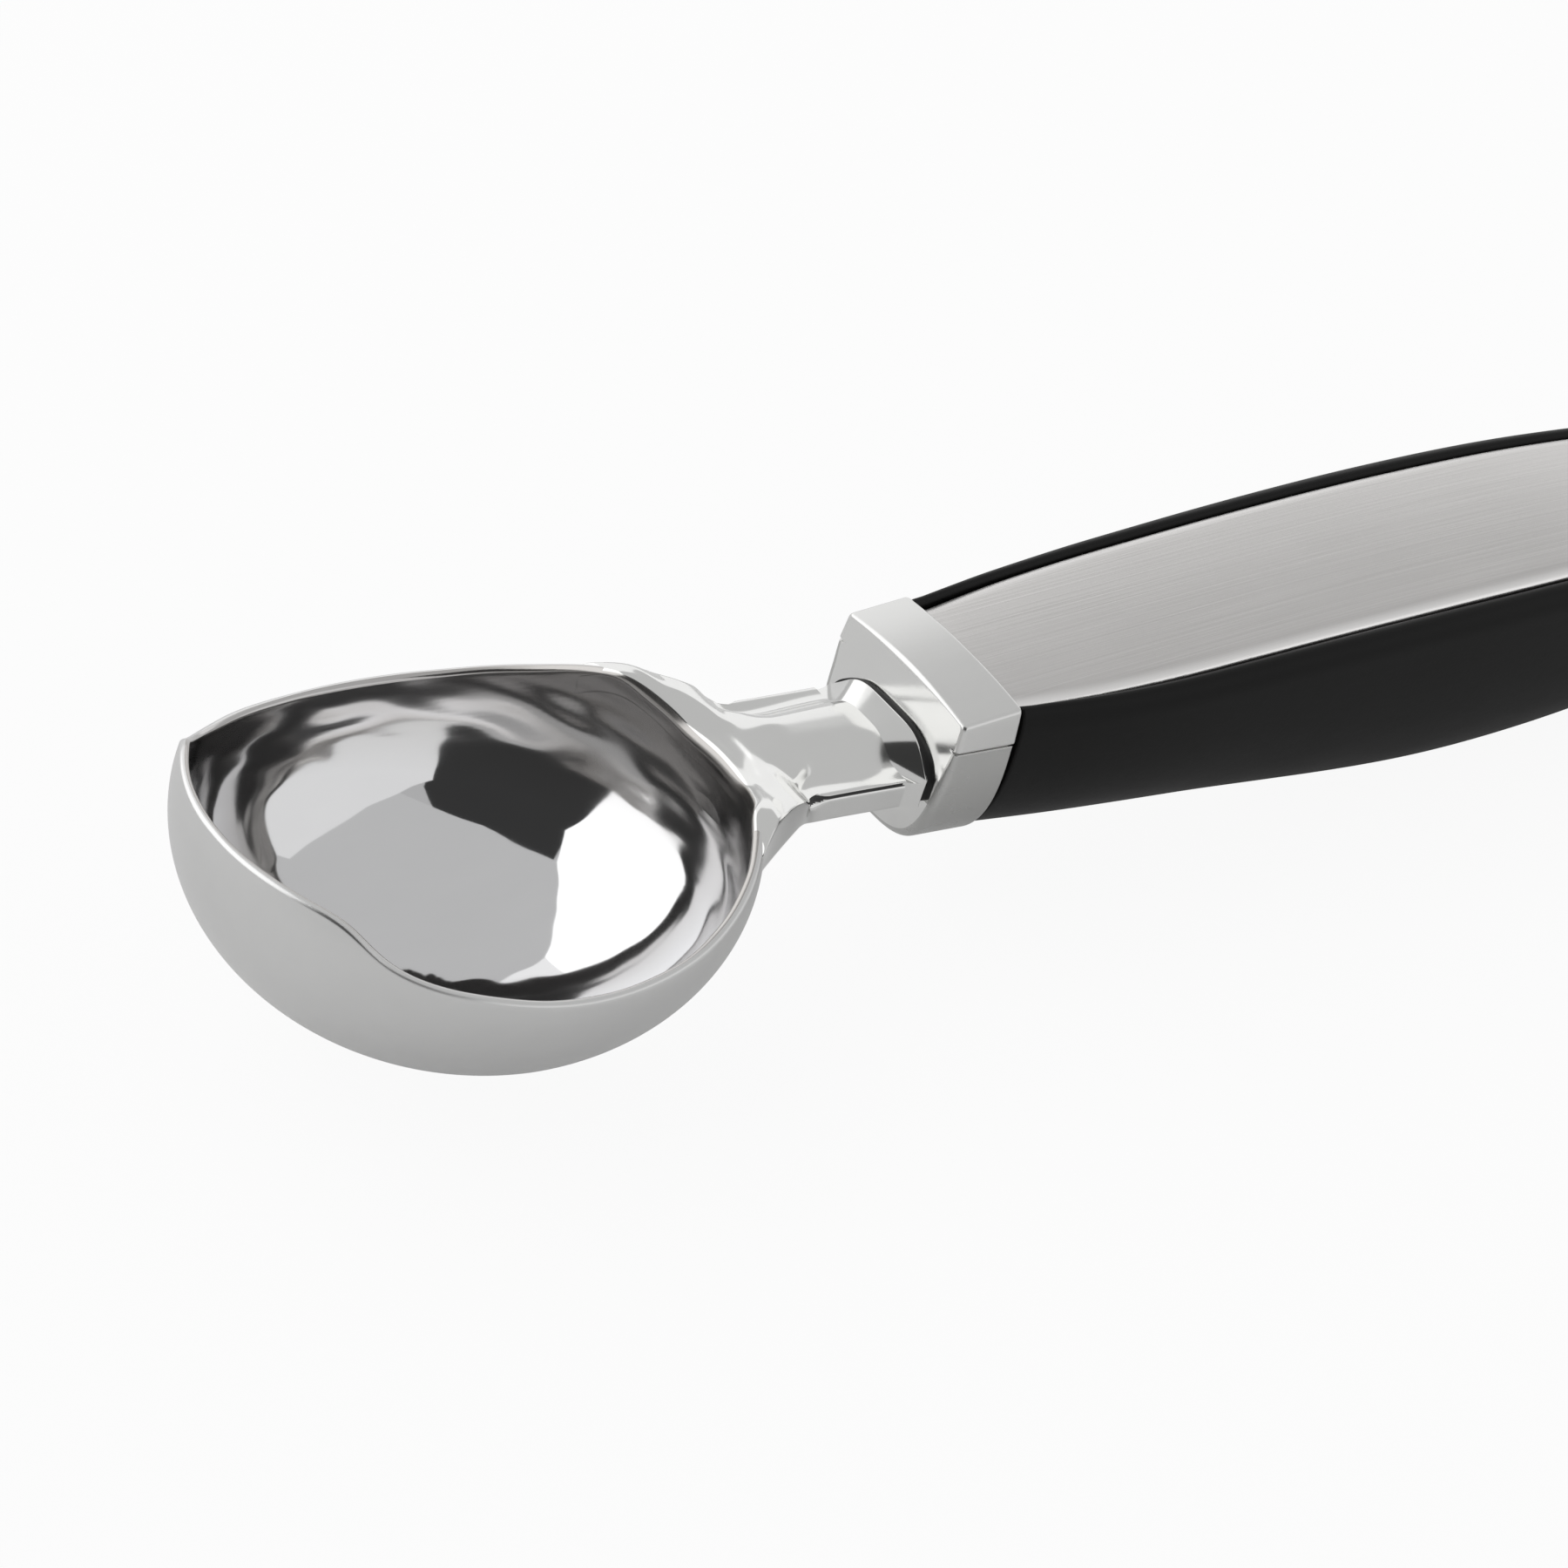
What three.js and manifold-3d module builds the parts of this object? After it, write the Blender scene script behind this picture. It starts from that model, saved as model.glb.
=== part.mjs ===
// Ice cream scoop with a cast head, a metal collar and a two-tone handle.
// Millimetres, +Z up. The scoop lies on a table at z = 0, on its bowl and on the belly of its handle.
// Pieces are drawn along the neck's axis: x runs from the bowl's centre to the handle's end,
// y runs across and z is the height over the bowl's centre. The finished scoop is then tipped onto the table.

import * as THREE from "three";
import { mergeVertices } from "three/addons/utils/BufferGeometryUtils.js";
import Module from "manifold-3d";

const wasm = await Module();
wasm.setup();

// Bowl
const bowlHalfLength = 29.4;
const bowlHalfWidth = 26.6;
const bowlDepth = 22.2;
const bowlTilt = THREE.MathUtils.degToRad(3);
const rimWall = 1.1;
const floorWall = 2.2;
const rimTipHeight = 4.1;
const rimDipHeight = -2.0;
const rimBackHeight = 5.6;
const restFlatDepth = 0.3;

// Neck
const neckLength = 17.9;
const rootHalfWidth = 15.2;
const webHalfWidth = 10.4;
const webHeight = 4.2;
const webThickness = 2.6;
const gussetShare = 0.62;
const waistHalfWidth = 6.0;
const saddleHeight = 2.9;
const saddleHalfWidth = 10.5;
const domeHeight = 4.8;
const domeEdgeHeight = 3.4;
const stemEdgeRound = 0.8;
const webSetback = 2.1;
const waistSetback = 4.9;
const domeSetback = 6;
const barLength = 14.2;
const barHalfWidth = 8.4;
const barTop = 2.5;
const barBottom = -0.6;
const barCorner = 2.0;
const bandLength = 3.6;
const bandHalfWidth = 8.8;
const bandTop = 5.7;
const bandShoulder = 1.0;
const bandChamfer = 0.6;
const bandRoundness = 2.6;

// Tang and its dowels
const tangHalfWidth = 4.5;
const tangThickness = 3.4;
const tangHeight = 2.3;
const tangInHandle = 41;
const dowelRadius = 2.0;
const dowelReach = 2.4;
const dowelInset = 10;

// Collar
const sealThickness = 0.7;
const sealInset = 0.3;
const bossLength = 0.3;
const collarLength = 7.8;
const collarHalfWidth = 10.45;
const collarTop = 9.2;
const collarBottom = -7.6;
const collarCornerRadius = 1.0;
const collarSeamHeight = 6.4;
const capOverhang = 0.25;
const capThickness = 1.3;
const dishRadius = 30;
const dishDepth = 2.0;
const spigotLength = 3.5;
const spigotHalfWidth = 7.0;
const spigotTop = 6.0;
const spigotShoulder = 4.5;
const spigotBottom = -3.6;

// Handle
const handleLength = 108;
const topRadius = 680;
const topCrestHeight = 16.1;
const topCrestPlace = 99;
const crown = 0.8;
const plateFrontHalfWidth = 8.7;
const plateHalfWidth = 11.15;
const plateRearHalfWidth = 9.7;
const plateThickness = 1.0;
const plateRoll = 0.7;
const gripFrontSide = 2.0;
const gripSide = 2.9;
const gripRearSide = 2.2;
const bellyHeight = -8.9;
const gripRearHeight = -0.6;
const gripFloor = 2.4;
const gripLipRise = 0.25;
const lipShare = 0.4;
const shoulderDrop = 2.5;
const grooveWidth = 0.4;
const splitRise = 5.0;
const sectionRoundness = 2.4;

// Fasteners in the handle
const studRadius = 1.5;
const studLength = 5.4;
const studPadRadius = 2.6;
const studPadThickness = 0.5;
const studTip = 0.6;
const nutRadius = 3.9;
const nutThickness = 0.5;
const nutSeatDepth = 2.8;
const nutLip = 0.7;
const screwRadius = 1.4;
const screwHeadRadius = 2.7;
const screwHeadHeight = 1.9;
const screwHeadEdge = 0.5;
const screwSeatDepth = 3.2;
const screwReach = 4.0;
const screwSetback = 7;
const slotLength = 3;
const slotWidth = 0.8;
const slotDepth = 0.9;

// End cap
const capLength = 21;
const tongueLength = 5.5;
const tongueHalfWidth = 6.0;
const tongueThickness = 4.6;
const tongueDrop = 6.0;
const capScrewCover = 1;
const hangHoleRadius = 4.5;
const hangHolePlace = 12.5;
const endRoundness = 2.4;
const endShare = 0.985;

// Clearance between neighbours, and the overlap of two bodies that are joined into one
const gap = 0.3;
const bite = 1;

// Finishes
const finishes = {
  castMetal: { color: 0xc2c2c4, roughness: 0.16, metalness: 1 },
  satinMetal: { color: 0xbdbdbc, roughness: 0.32, metalness: 1 },
  brushedSteel: { color: 0xb5b1b0, roughness: 0.36, metalness: 1 },
  softGrip: { color: 0x1d1d1d, roughness: 0.62, metalness: 0 },
  seal: { color: 0x0b0b0b, roughness: 0.7, metalness: 0 },
  nylon: { color: 0x26272a, roughness: 0.55, metalness: 0 },
  zincSteel: { color: 0x9fa3a6, roughness: 0.4, metalness: 1 },
};

// Places along the axis
const bandEnd = bowlHalfLength + neckLength;
const sealFront = bandEnd + gap;
const bossFront = sealFront + sealThickness + gap;
const collarFront = bossFront + bossLength;
const collarRear = collarFront + collarLength;
const handleFront = collarRear + gap;
const handleRear = handleFront + handleLength;
const capFront = handleRear + gap;
const tangEnd = handleFront + tangInHandle;
const far = 400;

// A smooth curve through a few points, read as a height at a place.
function smoothThrough(points) {
  const slope = (i) => {
    const before = points[Math.max(i - 1, 0)];
    const after = points[Math.min(i + 1, points.length - 1)];
    return (after[1] - before[1]) / (after[0] - before[0]);
  };
  return (place) => {
    const last = points.length - 2;
    let i = points.findIndex((point, k) => k <= last && place < points[k + 1][0]);
    if (i < 0) i = last;
    const [x0, y0] = points[i];
    const [x1, y1] = points[i + 1];
    const span = x1 - x0;
    const t = THREE.MathUtils.clamp((place - x0) / span, 0, 1);
    const ease = t * t * (3 - 2 * t);
    const startPull = t * (1 - t) * (1 - t) * span * slope(i);
    const endPull = t * t * (1 - t) * span * slope(i + 1);
    return y0 + (y1 - y0) * ease + startPull - endPull;
  };
}

// A point of a rounded-off rectangle, between an ellipse (2) and a box (large numbers).
function roundedPoint(angle, halfWidth, height, roundness) {
  const c = Math.cos(angle);
  const s = Math.sin(angle);
  const across = Math.sign(c) * Math.abs(c) ** (2 / roundness) * halfWidth;
  return [across, Math.abs(s) ** (2 / roundness) * height];
}

function spread(count, from, to) {
  return Array.from({ length: count + 1 }, (unused, i) => from + ((to - from) * i) / count);
}

// Joins closed sections, listed along x, into one skinned body with flat ends.
function loft(places, drawnSections) {
  const flatten = (section) => section.map(([y, z]) => new THREE.Vector2(y, z));
  const clockwise = THREE.ShapeUtils.isClockWise(flatten(drawnSections[0]));
  const sections = drawnSections.map((section) => (clockwise ? section.toReversed() : section));
  const count = sections[0].length;
  const positions = [];
  const index = [];
  sections.forEach((section, k) => section.forEach(([y, z]) => positions.push(places[k], y, z)));
  for (let k = 0; k + 1 < sections.length; k += 1) {
    for (let i = 0; i < count; i += 1) {
      const next = (i + 1) % count;
      const a = k * count + i;
      const b = k * count + next;
      index.push(a, b, b + count, a, b + count, a + count);
    }
  }
  const lastRing = (sections.length - 1) * count;
  for (const [i, j, k] of THREE.ShapeUtils.triangulateShape(flatten(sections[0]), [])) {
    index.push(i, k, j);
  }
  for (const [i, j, k] of THREE.ShapeUtils.triangulateShape(flatten(sections.at(-1)), [])) {
    index.push(lastRing + i, lastRing + j, lastRing + k);
  }
  const geometry = new THREE.BufferGeometry();
  geometry.setAttribute("position", new THREE.Float32BufferAttribute(positions, 3));
  geometry.setIndex(index);
  return geometry;
}

// A flat outline in x and z, carried across y from one side to the other.
function acrossY(points, halfWidth) {
  const shape = new THREE.Shape(points.map(([x, z]) => new THREE.Vector2(x, z)));
  const geometry = new THREE.ExtrudeGeometry(shape, { depth: 2 * halfWidth, bevelEnabled: false });
  return geometry.translate(0, 0, -halfWidth).rotateX(Math.PI / 2);
}

// A flat outline in x and y, carried up from one height to another.
function upZ(points, bottom, top) {
  const shape = new THREE.Shape(points.map(([x, y]) => new THREE.Vector2(x, y)));
  const geometry = new THREE.ExtrudeGeometry(shape, { depth: top - bottom, bevelEnabled: false });
  return geometry.translate(0, 0, bottom);
}

// A section in y and z, carried along x.
function alongX(section, from, to) {
  return loft([from, to], [section, section]);
}

function block(x0, x1, halfWidth, z0, z1) {
  const geometry = new THREE.BoxGeometry(x1 - x0, 2 * halfWidth, z1 - z0);
  return geometry.translate((x0 + x1) / 2, 0, (z0 + z1) / 2);
}

// A turned piece about a vertical axis, from its half outline of radius and height.
function turned(points, x, segments = 16) {
  const outline = points.map(([radius, height]) => new THREE.Vector2(radius, height));
  return new THREE.LatheGeometry(outline, segments).rotateX(Math.PI / 2).translate(x, 0, 0);
}

function post(radius, bottom, top, x, segments = 16) {
  return turned([[0, bottom], [radius, bottom], [radius, top], [0, top]], x, segments);
}

function ellipsoid(halfLength, halfWidth, depth) {
  const geometry = new THREE.SphereGeometry(1, 44, 24).rotateX(Math.PI / 2);
  return geometry.scale(halfLength, halfWidth, depth).rotateY(bowlTilt);
}

// Solids for joining and cutting
function solid(geometry) {
  const bare = new THREE.BufferGeometry();
  bare.setAttribute("position", geometry.getAttribute("position"));
  bare.setIndex(geometry.getIndex());
  const merged = mergeVertices(bare, 1e-4);
  const corners = merged.getIndex().array;
  const triangles = [];
  for (let i = 0; i < corners.length; i += 3) {
    const [a, b, c] = [corners[i], corners[i + 1], corners[i + 2]];
    if (a !== b && b !== c && c !== a) triangles.push(a, b, c);
  }
  const vertProperties = new Float32Array(merged.getAttribute("position").array);
  return new wasm.Manifold(
    new wasm.Mesh({ numProp: 3, vertProperties, triVerts: new Uint32Array(triangles) }),
  );
}

const join = (first, ...others) => others.reduce((body, other) => body.add(other), first);
const cut = (first, ...others) => others.reduce((body, other) => body.subtract(other), first);

function piece(name, body, finish) {
  const { vertProperties, triVerts } = body.getMesh();
  const geometry = new THREE.BufferGeometry();
  geometry.setAttribute("position", new THREE.Float32BufferAttribute(vertProperties, 3));
  geometry.setIndex(Array.from(triVerts));
  geometry.computeVertexNormals();
  const mesh = new THREE.Mesh(geometry, new THREE.MeshStandardMaterial(finish));
  mesh.name = name;
  return mesh;
}

// The handle's lines, read at a share of its length
const { lerp } = THREE.MathUtils;
const plateHalfWidthAt = smoothThrough([
  [0, plateFrontHalfWidth],
  [0.1, lerp(plateFrontHalfWidth, plateHalfWidth, 0.55)],
  [0.22, lerp(plateFrontHalfWidth, plateHalfWidth, 0.84)],
  [0.6, plateHalfWidth],
  [1, plateRearHalfWidth],
]);
const gripSideAt = smoothThrough([
  [0, gripFrontSide],
  [0.22, lerp(gripFrontSide, gripSide, 0.67)],
  [0.6, gripSide],
  [1, gripRearSide],
]);
const undersideAt = smoothThrough([
  [0, collarBottom],
  [0.21, lerp(collarBottom, bellyHeight, 0.08)],
  [0.49, bellyHeight],
  [0.66, lerp(bellyHeight, gripRearHeight, 0.18)],
  [0.86, lerp(bellyHeight, gripRearHeight, 0.69)],
  [1, gripRearHeight],
]);

function handleAt(x) {
  const share = (x - handleFront) / handleLength;
  const top = topCrestHeight - (x - handleFront - topCrestPlace) ** 2 / (2 * topRadius);
  const plateHalf = plateHalfWidthAt(share);
  return {
    top,
    plateHalf,
    grip: plateHalf + gripSideAt(share),
    inner: plateHalf + grooveWidth,
    widest: top - shoulderDrop,
    bottom: undersideAt(share),
  };
}

const crownAt = (y, halfWidth) => crown * (1 - (y / halfWidth) ** 2);

// The lower curve of a section, from its far side round the bottom to its near side.
function lowerCurve(halfWidth, widest, bottom, count) {
  return spread(count, 0, -Math.PI).map((angle) => {
    const [y, drop] = roundedPoint(angle, halfWidth, widest - bottom, sectionRoundness);
    return [y, widest - drop];
  });
}

const mirrored = (points) => points.map(([y, z]) => [-y, z]).toReversed();

// Table under the scoop: it touches the bowl and the belly of the handle.
const handlePlaces = spread(18, handleFront, handleRear);

function bowlReach(pitch) {
  const along = bowlHalfLength * Math.sin(pitch + bowlTilt);
  return Math.hypot(along, bowlDepth * Math.cos(pitch + bowlTilt));
}

function bellyReach(pitch) {
  const drops = handlePlaces.map((x) => x * Math.sin(pitch) - handleAt(x).bottom * Math.cos(pitch));
  return Math.max(...drops);
}

function findPitch() {
  let low = -0.3;
  let high = 0.6;
  for (let step = 0; step < 40; step += 1) {
    const middle = (low + high) / 2;
    if (bellyReach(middle) > bowlReach(middle)) high = middle;
    else low = middle;
  }
  return (low + high) / 2;
}

const restPitch = findPitch();
const restHeight = bowlReach(restPitch) - restFlatDepth;

const table = solid(block(-far, far, far, -far, -restHeight).rotateY(-restPitch));

// Head: bowl, neck and tang in one casting
// The rim's height at a share of the bowl's half length: a beak at the tip, a dip, then a rise to the neck.
const tipRise = rimTipHeight - rimDipHeight;
const backRise = rimBackHeight - rimDipHeight;
const rimReach = 1.1;
const rimShareAt = smoothThrough([
  [-rimReach, rimTipHeight + 0.1 * tipRise],
  [-0.88, rimTipHeight],
  [-0.76, rimDipHeight + 0.57 * tipRise],
  [-0.63, rimDipHeight + 0.22 * tipRise],
  [-0.34, rimDipHeight + 0.03 * tipRise],
  [-0.07, rimDipHeight],
  [0.24, rimDipHeight + 0.08 * backRise],
  [0.51, rimDipHeight + 0.28 * backRise],
  [0.75, rimDipHeight + 0.62 * backRise],
  [0.92, rimBackHeight],
  [rimReach, rimBackHeight + 0.25 * backRise],
]);
const rimAt = (x) => rimShareAt(x / bowlHalfLength);

function bowlShell() {
  const outer = solid(ellipsoid(bowlHalfLength, bowlHalfWidth, bowlDepth));
  const edge = rimReach * bowlHalfLength;
  const below = [[edge, -2 * bowlDepth], [-edge, -2 * bowlDepth]];
  const rim = spread(44, -edge, edge).map((x) => [x, rimAt(x)]);
  const underRim = solid(acrossY([...below, ...rim], 2 * bowlHalfWidth));
  return outer.intersect(underRim);
}

function bowlHollow() {
  return solid(ellipsoid(bowlHalfLength - rimWall, bowlHalfWidth - rimWall, bowlDepth - floorWall));
}

// The stem leaves the bowl as a wide web over a gusset and becomes a narrow dome.
function neckStem() {
  const rootPlace = 0.8 * bowlHalfLength;
  const webPlace = bowlHalfLength + webSetback;
  const waistPlace = bowlHalfLength + waistSetback;
  const domePlace = bowlHalfLength + domeSetback;
  const stemEnd = bandEnd - bandLength / 2;
  const halfWidthAt = smoothThrough([
    [rootPlace, rootHalfWidth],
    [bowlHalfLength, lerp(webHalfWidth, rootHalfWidth, 0.22)],
    [webPlace, webHalfWidth],
    [waistPlace, waistHalfWidth],
    [stemEnd, waistHalfWidth],
  ]);
  const middleAt = smoothThrough([
    [rootPlace, saddleHeight], [bowlHalfLength, saddleHeight], [domePlace, domeHeight], [stemEnd, domeHeight],
  ]);
  const edgeAt = smoothThrough([
    [rootPlace, rimAt(rootPlace)], [bowlHalfLength, webHeight], [webPlace, 0.9 * webHeight],
    [domePlace, domeEdgeHeight], [stemEnd, domeEdgeHeight],
  ]);
  const bottomAt = smoothThrough([
    [rootPlace, -0.6 * bowlDepth], [bowlHalfLength, -0.24 * bowlDepth], [domePlace, barBottom],
    [stemEnd, barBottom],
  ]);
  const places = spread(18, rootPlace, stemEnd);
  const sections = places.map((x) => {
    const half = halfWidthAt(x);
    const middle = middleAt(x);
    const edge = edgeAt(x);
    const under = Math.min(edge, middle) - webThickness;
    const top = spread(10, -half, half).map((y) => [y, middle + (edge - middle) * (y / half) ** 2]);
    const side = [[half, edge - stemEdgeRound], [half - stemEdgeRound, under]];
    const gusset = lowerCurve(gussetShare * half, under, bottomAt(x), 10);
    return [...side, ...gusset, ...mirrored(side), ...top];
  });
  return solid(loft(places, sections));
}

// The back of the rim dips to the web in a saddle.
function saddleDip() {
  const corner = rimBackHeight - saddleHeight;
  const dip = spread(12, -saddleHalfWidth, saddleHalfWidth).map((y) => [
    y,
    saddleHeight + corner * Math.abs(y / saddleHalfWidth) ** 3,
  ]);
  const above = [[saddleHalfWidth, 2 * bowlDepth], [-saddleHalfWidth, 2 * bowlDepth]];
  return solid(alongX([...dip, ...above], 0, bowlHalfLength));
}

function neckBar() {
  const front = bandEnd - barLength;
  const corner = spread(6, Math.PI, Math.PI / 2).map((angle) => [
    front + barCorner * (1 + Math.cos(angle)),
    barHalfWidth - barCorner * (1 - Math.sin(angle)),
  ]);
  const side = [...corner, [bandEnd - bandLength / 2, barHalfWidth]];
  const outline = [...side, ...side.map(([x, y]) => [x, -y]).toReversed()];
  return solid(upZ(outline, barBottom, barTop));
}

// The domed section where the neck meets the collar, drawn in by an inset.
function bandSection(inset) {
  const half = bandHalfWidth - inset;
  const foot = barBottom + inset;
  const dome = spread(16, 0, Math.PI).map((angle) => {
    const [y, rise] = roundedPoint(angle, half, bandTop - inset - bandShoulder, bandRoundness);
    return [y, bandShoulder + rise];
  });
  return [
    [half, foot + bandChamfer], ...dome, [-half, foot + bandChamfer],
    [-half + bandChamfer, foot], [half - bandChamfer, foot],
  ];
}

function tangBlock(clearance, from, to) {
  const half = tangThickness / 2 + clearance;
  return solid(block(from, to, tangHalfWidth + clearance, tangHeight - half, tangHeight + half));
}

const dowelPlaces = [handleFront + dowelInset, tangEnd - dowelInset];
const dowelHalf = tangThickness / 2 + dowelReach;

function dowel(x, clearance) {
  const half = dowelHalf + clearance;
  return solid(post(dowelRadius + clearance, tangHeight - half, tangHeight + half, x));
}

function scoopHead() {
  const band = solid(alongX(bandSection(0), bandEnd - bandLength, bandEnd));
  const tang = tangBlock(0, bandEnd - bandLength / 2, tangEnd);
  const outer = join(bowlShell(), neckStem(), neckBar(), band, tang);
  return cut(outer, bowlHollow(), saddleDip(), table, ...dowelPlaces.map((x) => dowel(x, gap)));
}

// Collar: a cast body behind a rubber seal, with a saddle-shaped cap over its top
function neckSeal() {
  const ring = solid(alongX(bandSection(sealInset), sealFront, sealFront + sealThickness));
  return cut(ring, tangBlock(gap, bandEnd, collarRear));
}

// The outline of the collar seen from above, with rounded front corners.
function collarPlan() {
  const half = collarHalfWidth + capOverhang;
  const corner = spread(6, Math.PI, Math.PI / 2).map((angle) => [
    collarFront + collarCornerRadius * (1 + Math.cos(angle)),
    half - collarCornerRadius * (1 - Math.sin(angle)),
  ]);
  const side = [...corner, [collarRear, half]];
  const outline = [...side, ...side.map(([x, y]) => [x, -y]).toReversed()];
  return solid(upZ(outline, 2 * collarBottom, 2 * collarTop));
}

function dish() {
  const ball = new THREE.SphereGeometry(dishRadius, 48, 32).rotateZ(Math.PI / 2);
  return solid(ball.translate(collarFront - dishRadius + dishDepth, 0, tangHeight));
}

// The upper outline of the collar, from the far seam over the crown to the near seam, drawn in by an inset.
function collarArch(inset) {
  const half = collarHalfWidth + capOverhang - inset;
  const radius = Math.max(collarCornerRadius - inset, gap);
  const flat = half - radius;
  const top = collarTop - inset;
  const corner = spread(5, 0, Math.PI / 2).map((angle) => [
    flat + radius * Math.cos(angle),
    top - radius * (1 - Math.sin(angle)),
  ]);
  const arch = spread(8, flat, -flat).slice(1, -1).map((y) => [y, top + crownAt(y, flat)]);
  return [...corner, ...arch, ...mirrored(corner)];
}

function collarCap() {
  const outside = collarArch(0);
  const inside = collarArch(capThickness);
  const half = collarHalfWidth + capOverhang;
  const foot = collarSeamHeight + gap / 2;
  const section = [
    [half, foot], ...outside, [-half, foot],
    [-half + capThickness, foot], ...inside.toReversed(), [half - capThickness, foot],
  ];
  const arch = solid(alongX(section, collarFront, collarRear));
  return cut(arch.intersect(collarPlan()), dish());
}

function collarBody() {
  const inset = capThickness + gap;
  const half = collarHalfWidth + capOverhang - inset;
  const seam = collarSeamHeight - gap / 2;
  const lower = lowerCurve(collarHalfWidth, seam, collarBottom, 20);
  const upper = [[half, seam], ...collarArch(inset), [-half, seam]];
  const shell = solid(alongX([...lower, ...upper.toReversed()], collarFront, collarRear));
  const boss = solid(alongX(bandSection(0), bossFront, collarFront + dishDepth + bite));
  const body = join(cut(shell.intersect(collarPlan()), dish()), boss);
  const socket = spigot(gap, collarRear - spigotLength - gap, collarRear + bite);
  return cut(body, tangBlock(gap, bandEnd, collarRear), socket);
}

function spigot(clearance, from, to) {
  const half = spigotHalfWidth + clearance;
  const top = spigotTop + clearance;
  const lower = lowerCurve(half, spigotShoulder, spigotBottom - clearance, 12);
  return solid(alongX([[half, top], ...lower, [-half, top]], from, to));
}

// Handle: a split core in a soft grip, under a steel plate
function gripSection(x) {
  const { top, grip, inner, widest, bottom } = handleAt(x);
  const rise = top + gripLipRise;
  const lipHalf = lerp(inner, grip, lipShare);
  const shoulder = spread(4, Math.PI / 2, 0).map((angle) => [
    lipHalf + (grip - lipHalf) * Math.cos(angle),
    widest + (rise - widest) * Math.sin(angle),
  ]);
  const outside = [...shoulder, ...lowerCurve(grip, widest, bottom, 20).slice(1, -1), ...mirrored(shoulder)];
  const inside = lowerCurve(inner, widest, bottom + gripFloor, 16);
  return [[inner, top], ...outside, [-inner, top], ...inside.toReversed()];
}

function softGrip() {
  return cut(solid(loft(handlePlaces, handlePlaces.map(gripSection))), table);
}

const coreTopAt = (x, y) => handleAt(x).top - plateThickness - gap + crownAt(y, handleAt(x).plateHalf);
const coreBottomAt = (x) => handleAt(x).bottom + gripFloor + gap;
const splitAt = (x) => tangHeight + (splitRise * (x - handleFront)) / handleLength;

function coreSection(x) {
  const { inner, widest } = handleAt(x);
  const half = inner - gap;
  const top = spread(8, half, -half).map((y) => [y, coreTopAt(x, y)]);
  const lower = lowerCurve(half, widest - gap, coreBottomAt(x), 16);
  return [...top, ...lower.toReversed()];
}

function core() {
  const body = solid(loft(handlePlaces, handlePlaces.map(coreSection)));
  return join(body, spigot(0, collarRear - spigotLength, handleFront + bite));
}

// The half of the handle's space over or under the split between the core halves.
function splitHalf(side) {
  const from = collarRear - 2 * spigotLength;
  const to = handleRear + 2 * tongueLength;
  const shift = (side * gap) / 2;
  const ends = [[to, splitAt(to) + shift], [from, splitAt(from) + shift]];
  return solid(acrossY([...ends, [from, side * far], [to, side * far]], far));
}

const screwPlaces = [tangEnd + screwSetback, (tangEnd + handleRear) / 2, handleRear - screwSetback];
const studPlaces = [
  (dowelPlaces[0] + dowelPlaces[1]) / 2,
  (screwPlaces[0] + screwPlaces[1]) / 2,
  (screwPlaces[1] + screwPlaces[2]) / 2,
];

function screw(x, seat, tip) {
  const head = seat - screwHeadHeight;
  const outline = [
    [0, head], [screwHeadRadius - screwHeadEdge, head], [screwHeadRadius, head + screwHeadEdge],
    [screwHeadRadius, seat], [screwRadius, seat], [screwRadius, tip - screwRadius], [0, tip],
  ];
  const slots = [0, Math.PI / 2].map((turn) => {
    const slot = new THREE.BoxGeometry(slotLength, slotWidth, 2 * slotDepth).rotateZ(turn);
    return solid(slot.translate(x, 0, head));
  });
  return cut(solid(turned(outline, x)), ...slots);
}

function screwHole(x, seat, tip) {
  return join(
    solid(post(screwRadius + gap, seat, tip + gap, x)),
    solid(post(screwHeadRadius + gap, -far, seat + gap, x)),
  );
}

const coreScrewSeat = (x) => coreBottomAt(x) + screwSeatDepth;
const coreScrewTip = (x) => splitAt(x) + screwReach;

const nutSeat = (x) => coreTopAt(x, 0) - nutSeatDepth;

function studHole(x) {
  return join(
    solid(post(studRadius + gap, -far, far, x)),
    solid(post(studPadRadius + gap, coreTopAt(x, 0) - 2 * studPadThickness - gap, far, x)),
    solid(post(nutRadius + gap, -far, nutSeat(x), x)),
  );
}

function plateStud(x) {
  const edges = [x - studPadRadius, x + studPadRadius];
  const top = Math.min(...edges.map((edge) => coreTopAt(edge, studPadRadius)));
  const pad = top - studPadThickness;
  const tip = top - studLength;
  return solid(turned([
    [0, tip], [studRadius - studTip, tip], [studRadius, tip + studTip], [studRadius, pad],
    [studPadRadius, pad], [studPadRadius, top], [0, top],
  ], x));
}

function pushNut(x) {
  const top = nutSeat(x) - gap;
  const bore = studRadius + gap;
  const lip = bore + nutLip;
  return solid(turned([
    [bore, top - 2 * nutThickness], [lip, top - nutThickness], [nutRadius, top - nutThickness],
    [nutRadius, top], [lip, top], [bore, top - nutThickness], [bore, top - 2 * nutThickness],
  ], x));
}

function tongueHeights() {
  const top = handleAt(handleRear).top - tongueDrop + tongueThickness / 2;
  return [top - tongueThickness, top];
}

function tongue(clearance, from) {
  const [low, high] = tongueHeights();
  const to = capFront + tongueLength + clearance;
  return solid(block(from, to, tongueHalfWidth + clearance, low - clearance, high + clearance));
}

const capScrewPlace = capFront + tongueLength / 2;
const capScrewSeat = handleAt(handleRear).bottom + screwSeatDepth;
const capScrewTip = tongueHeights()[1] - capScrewCover;

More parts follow.
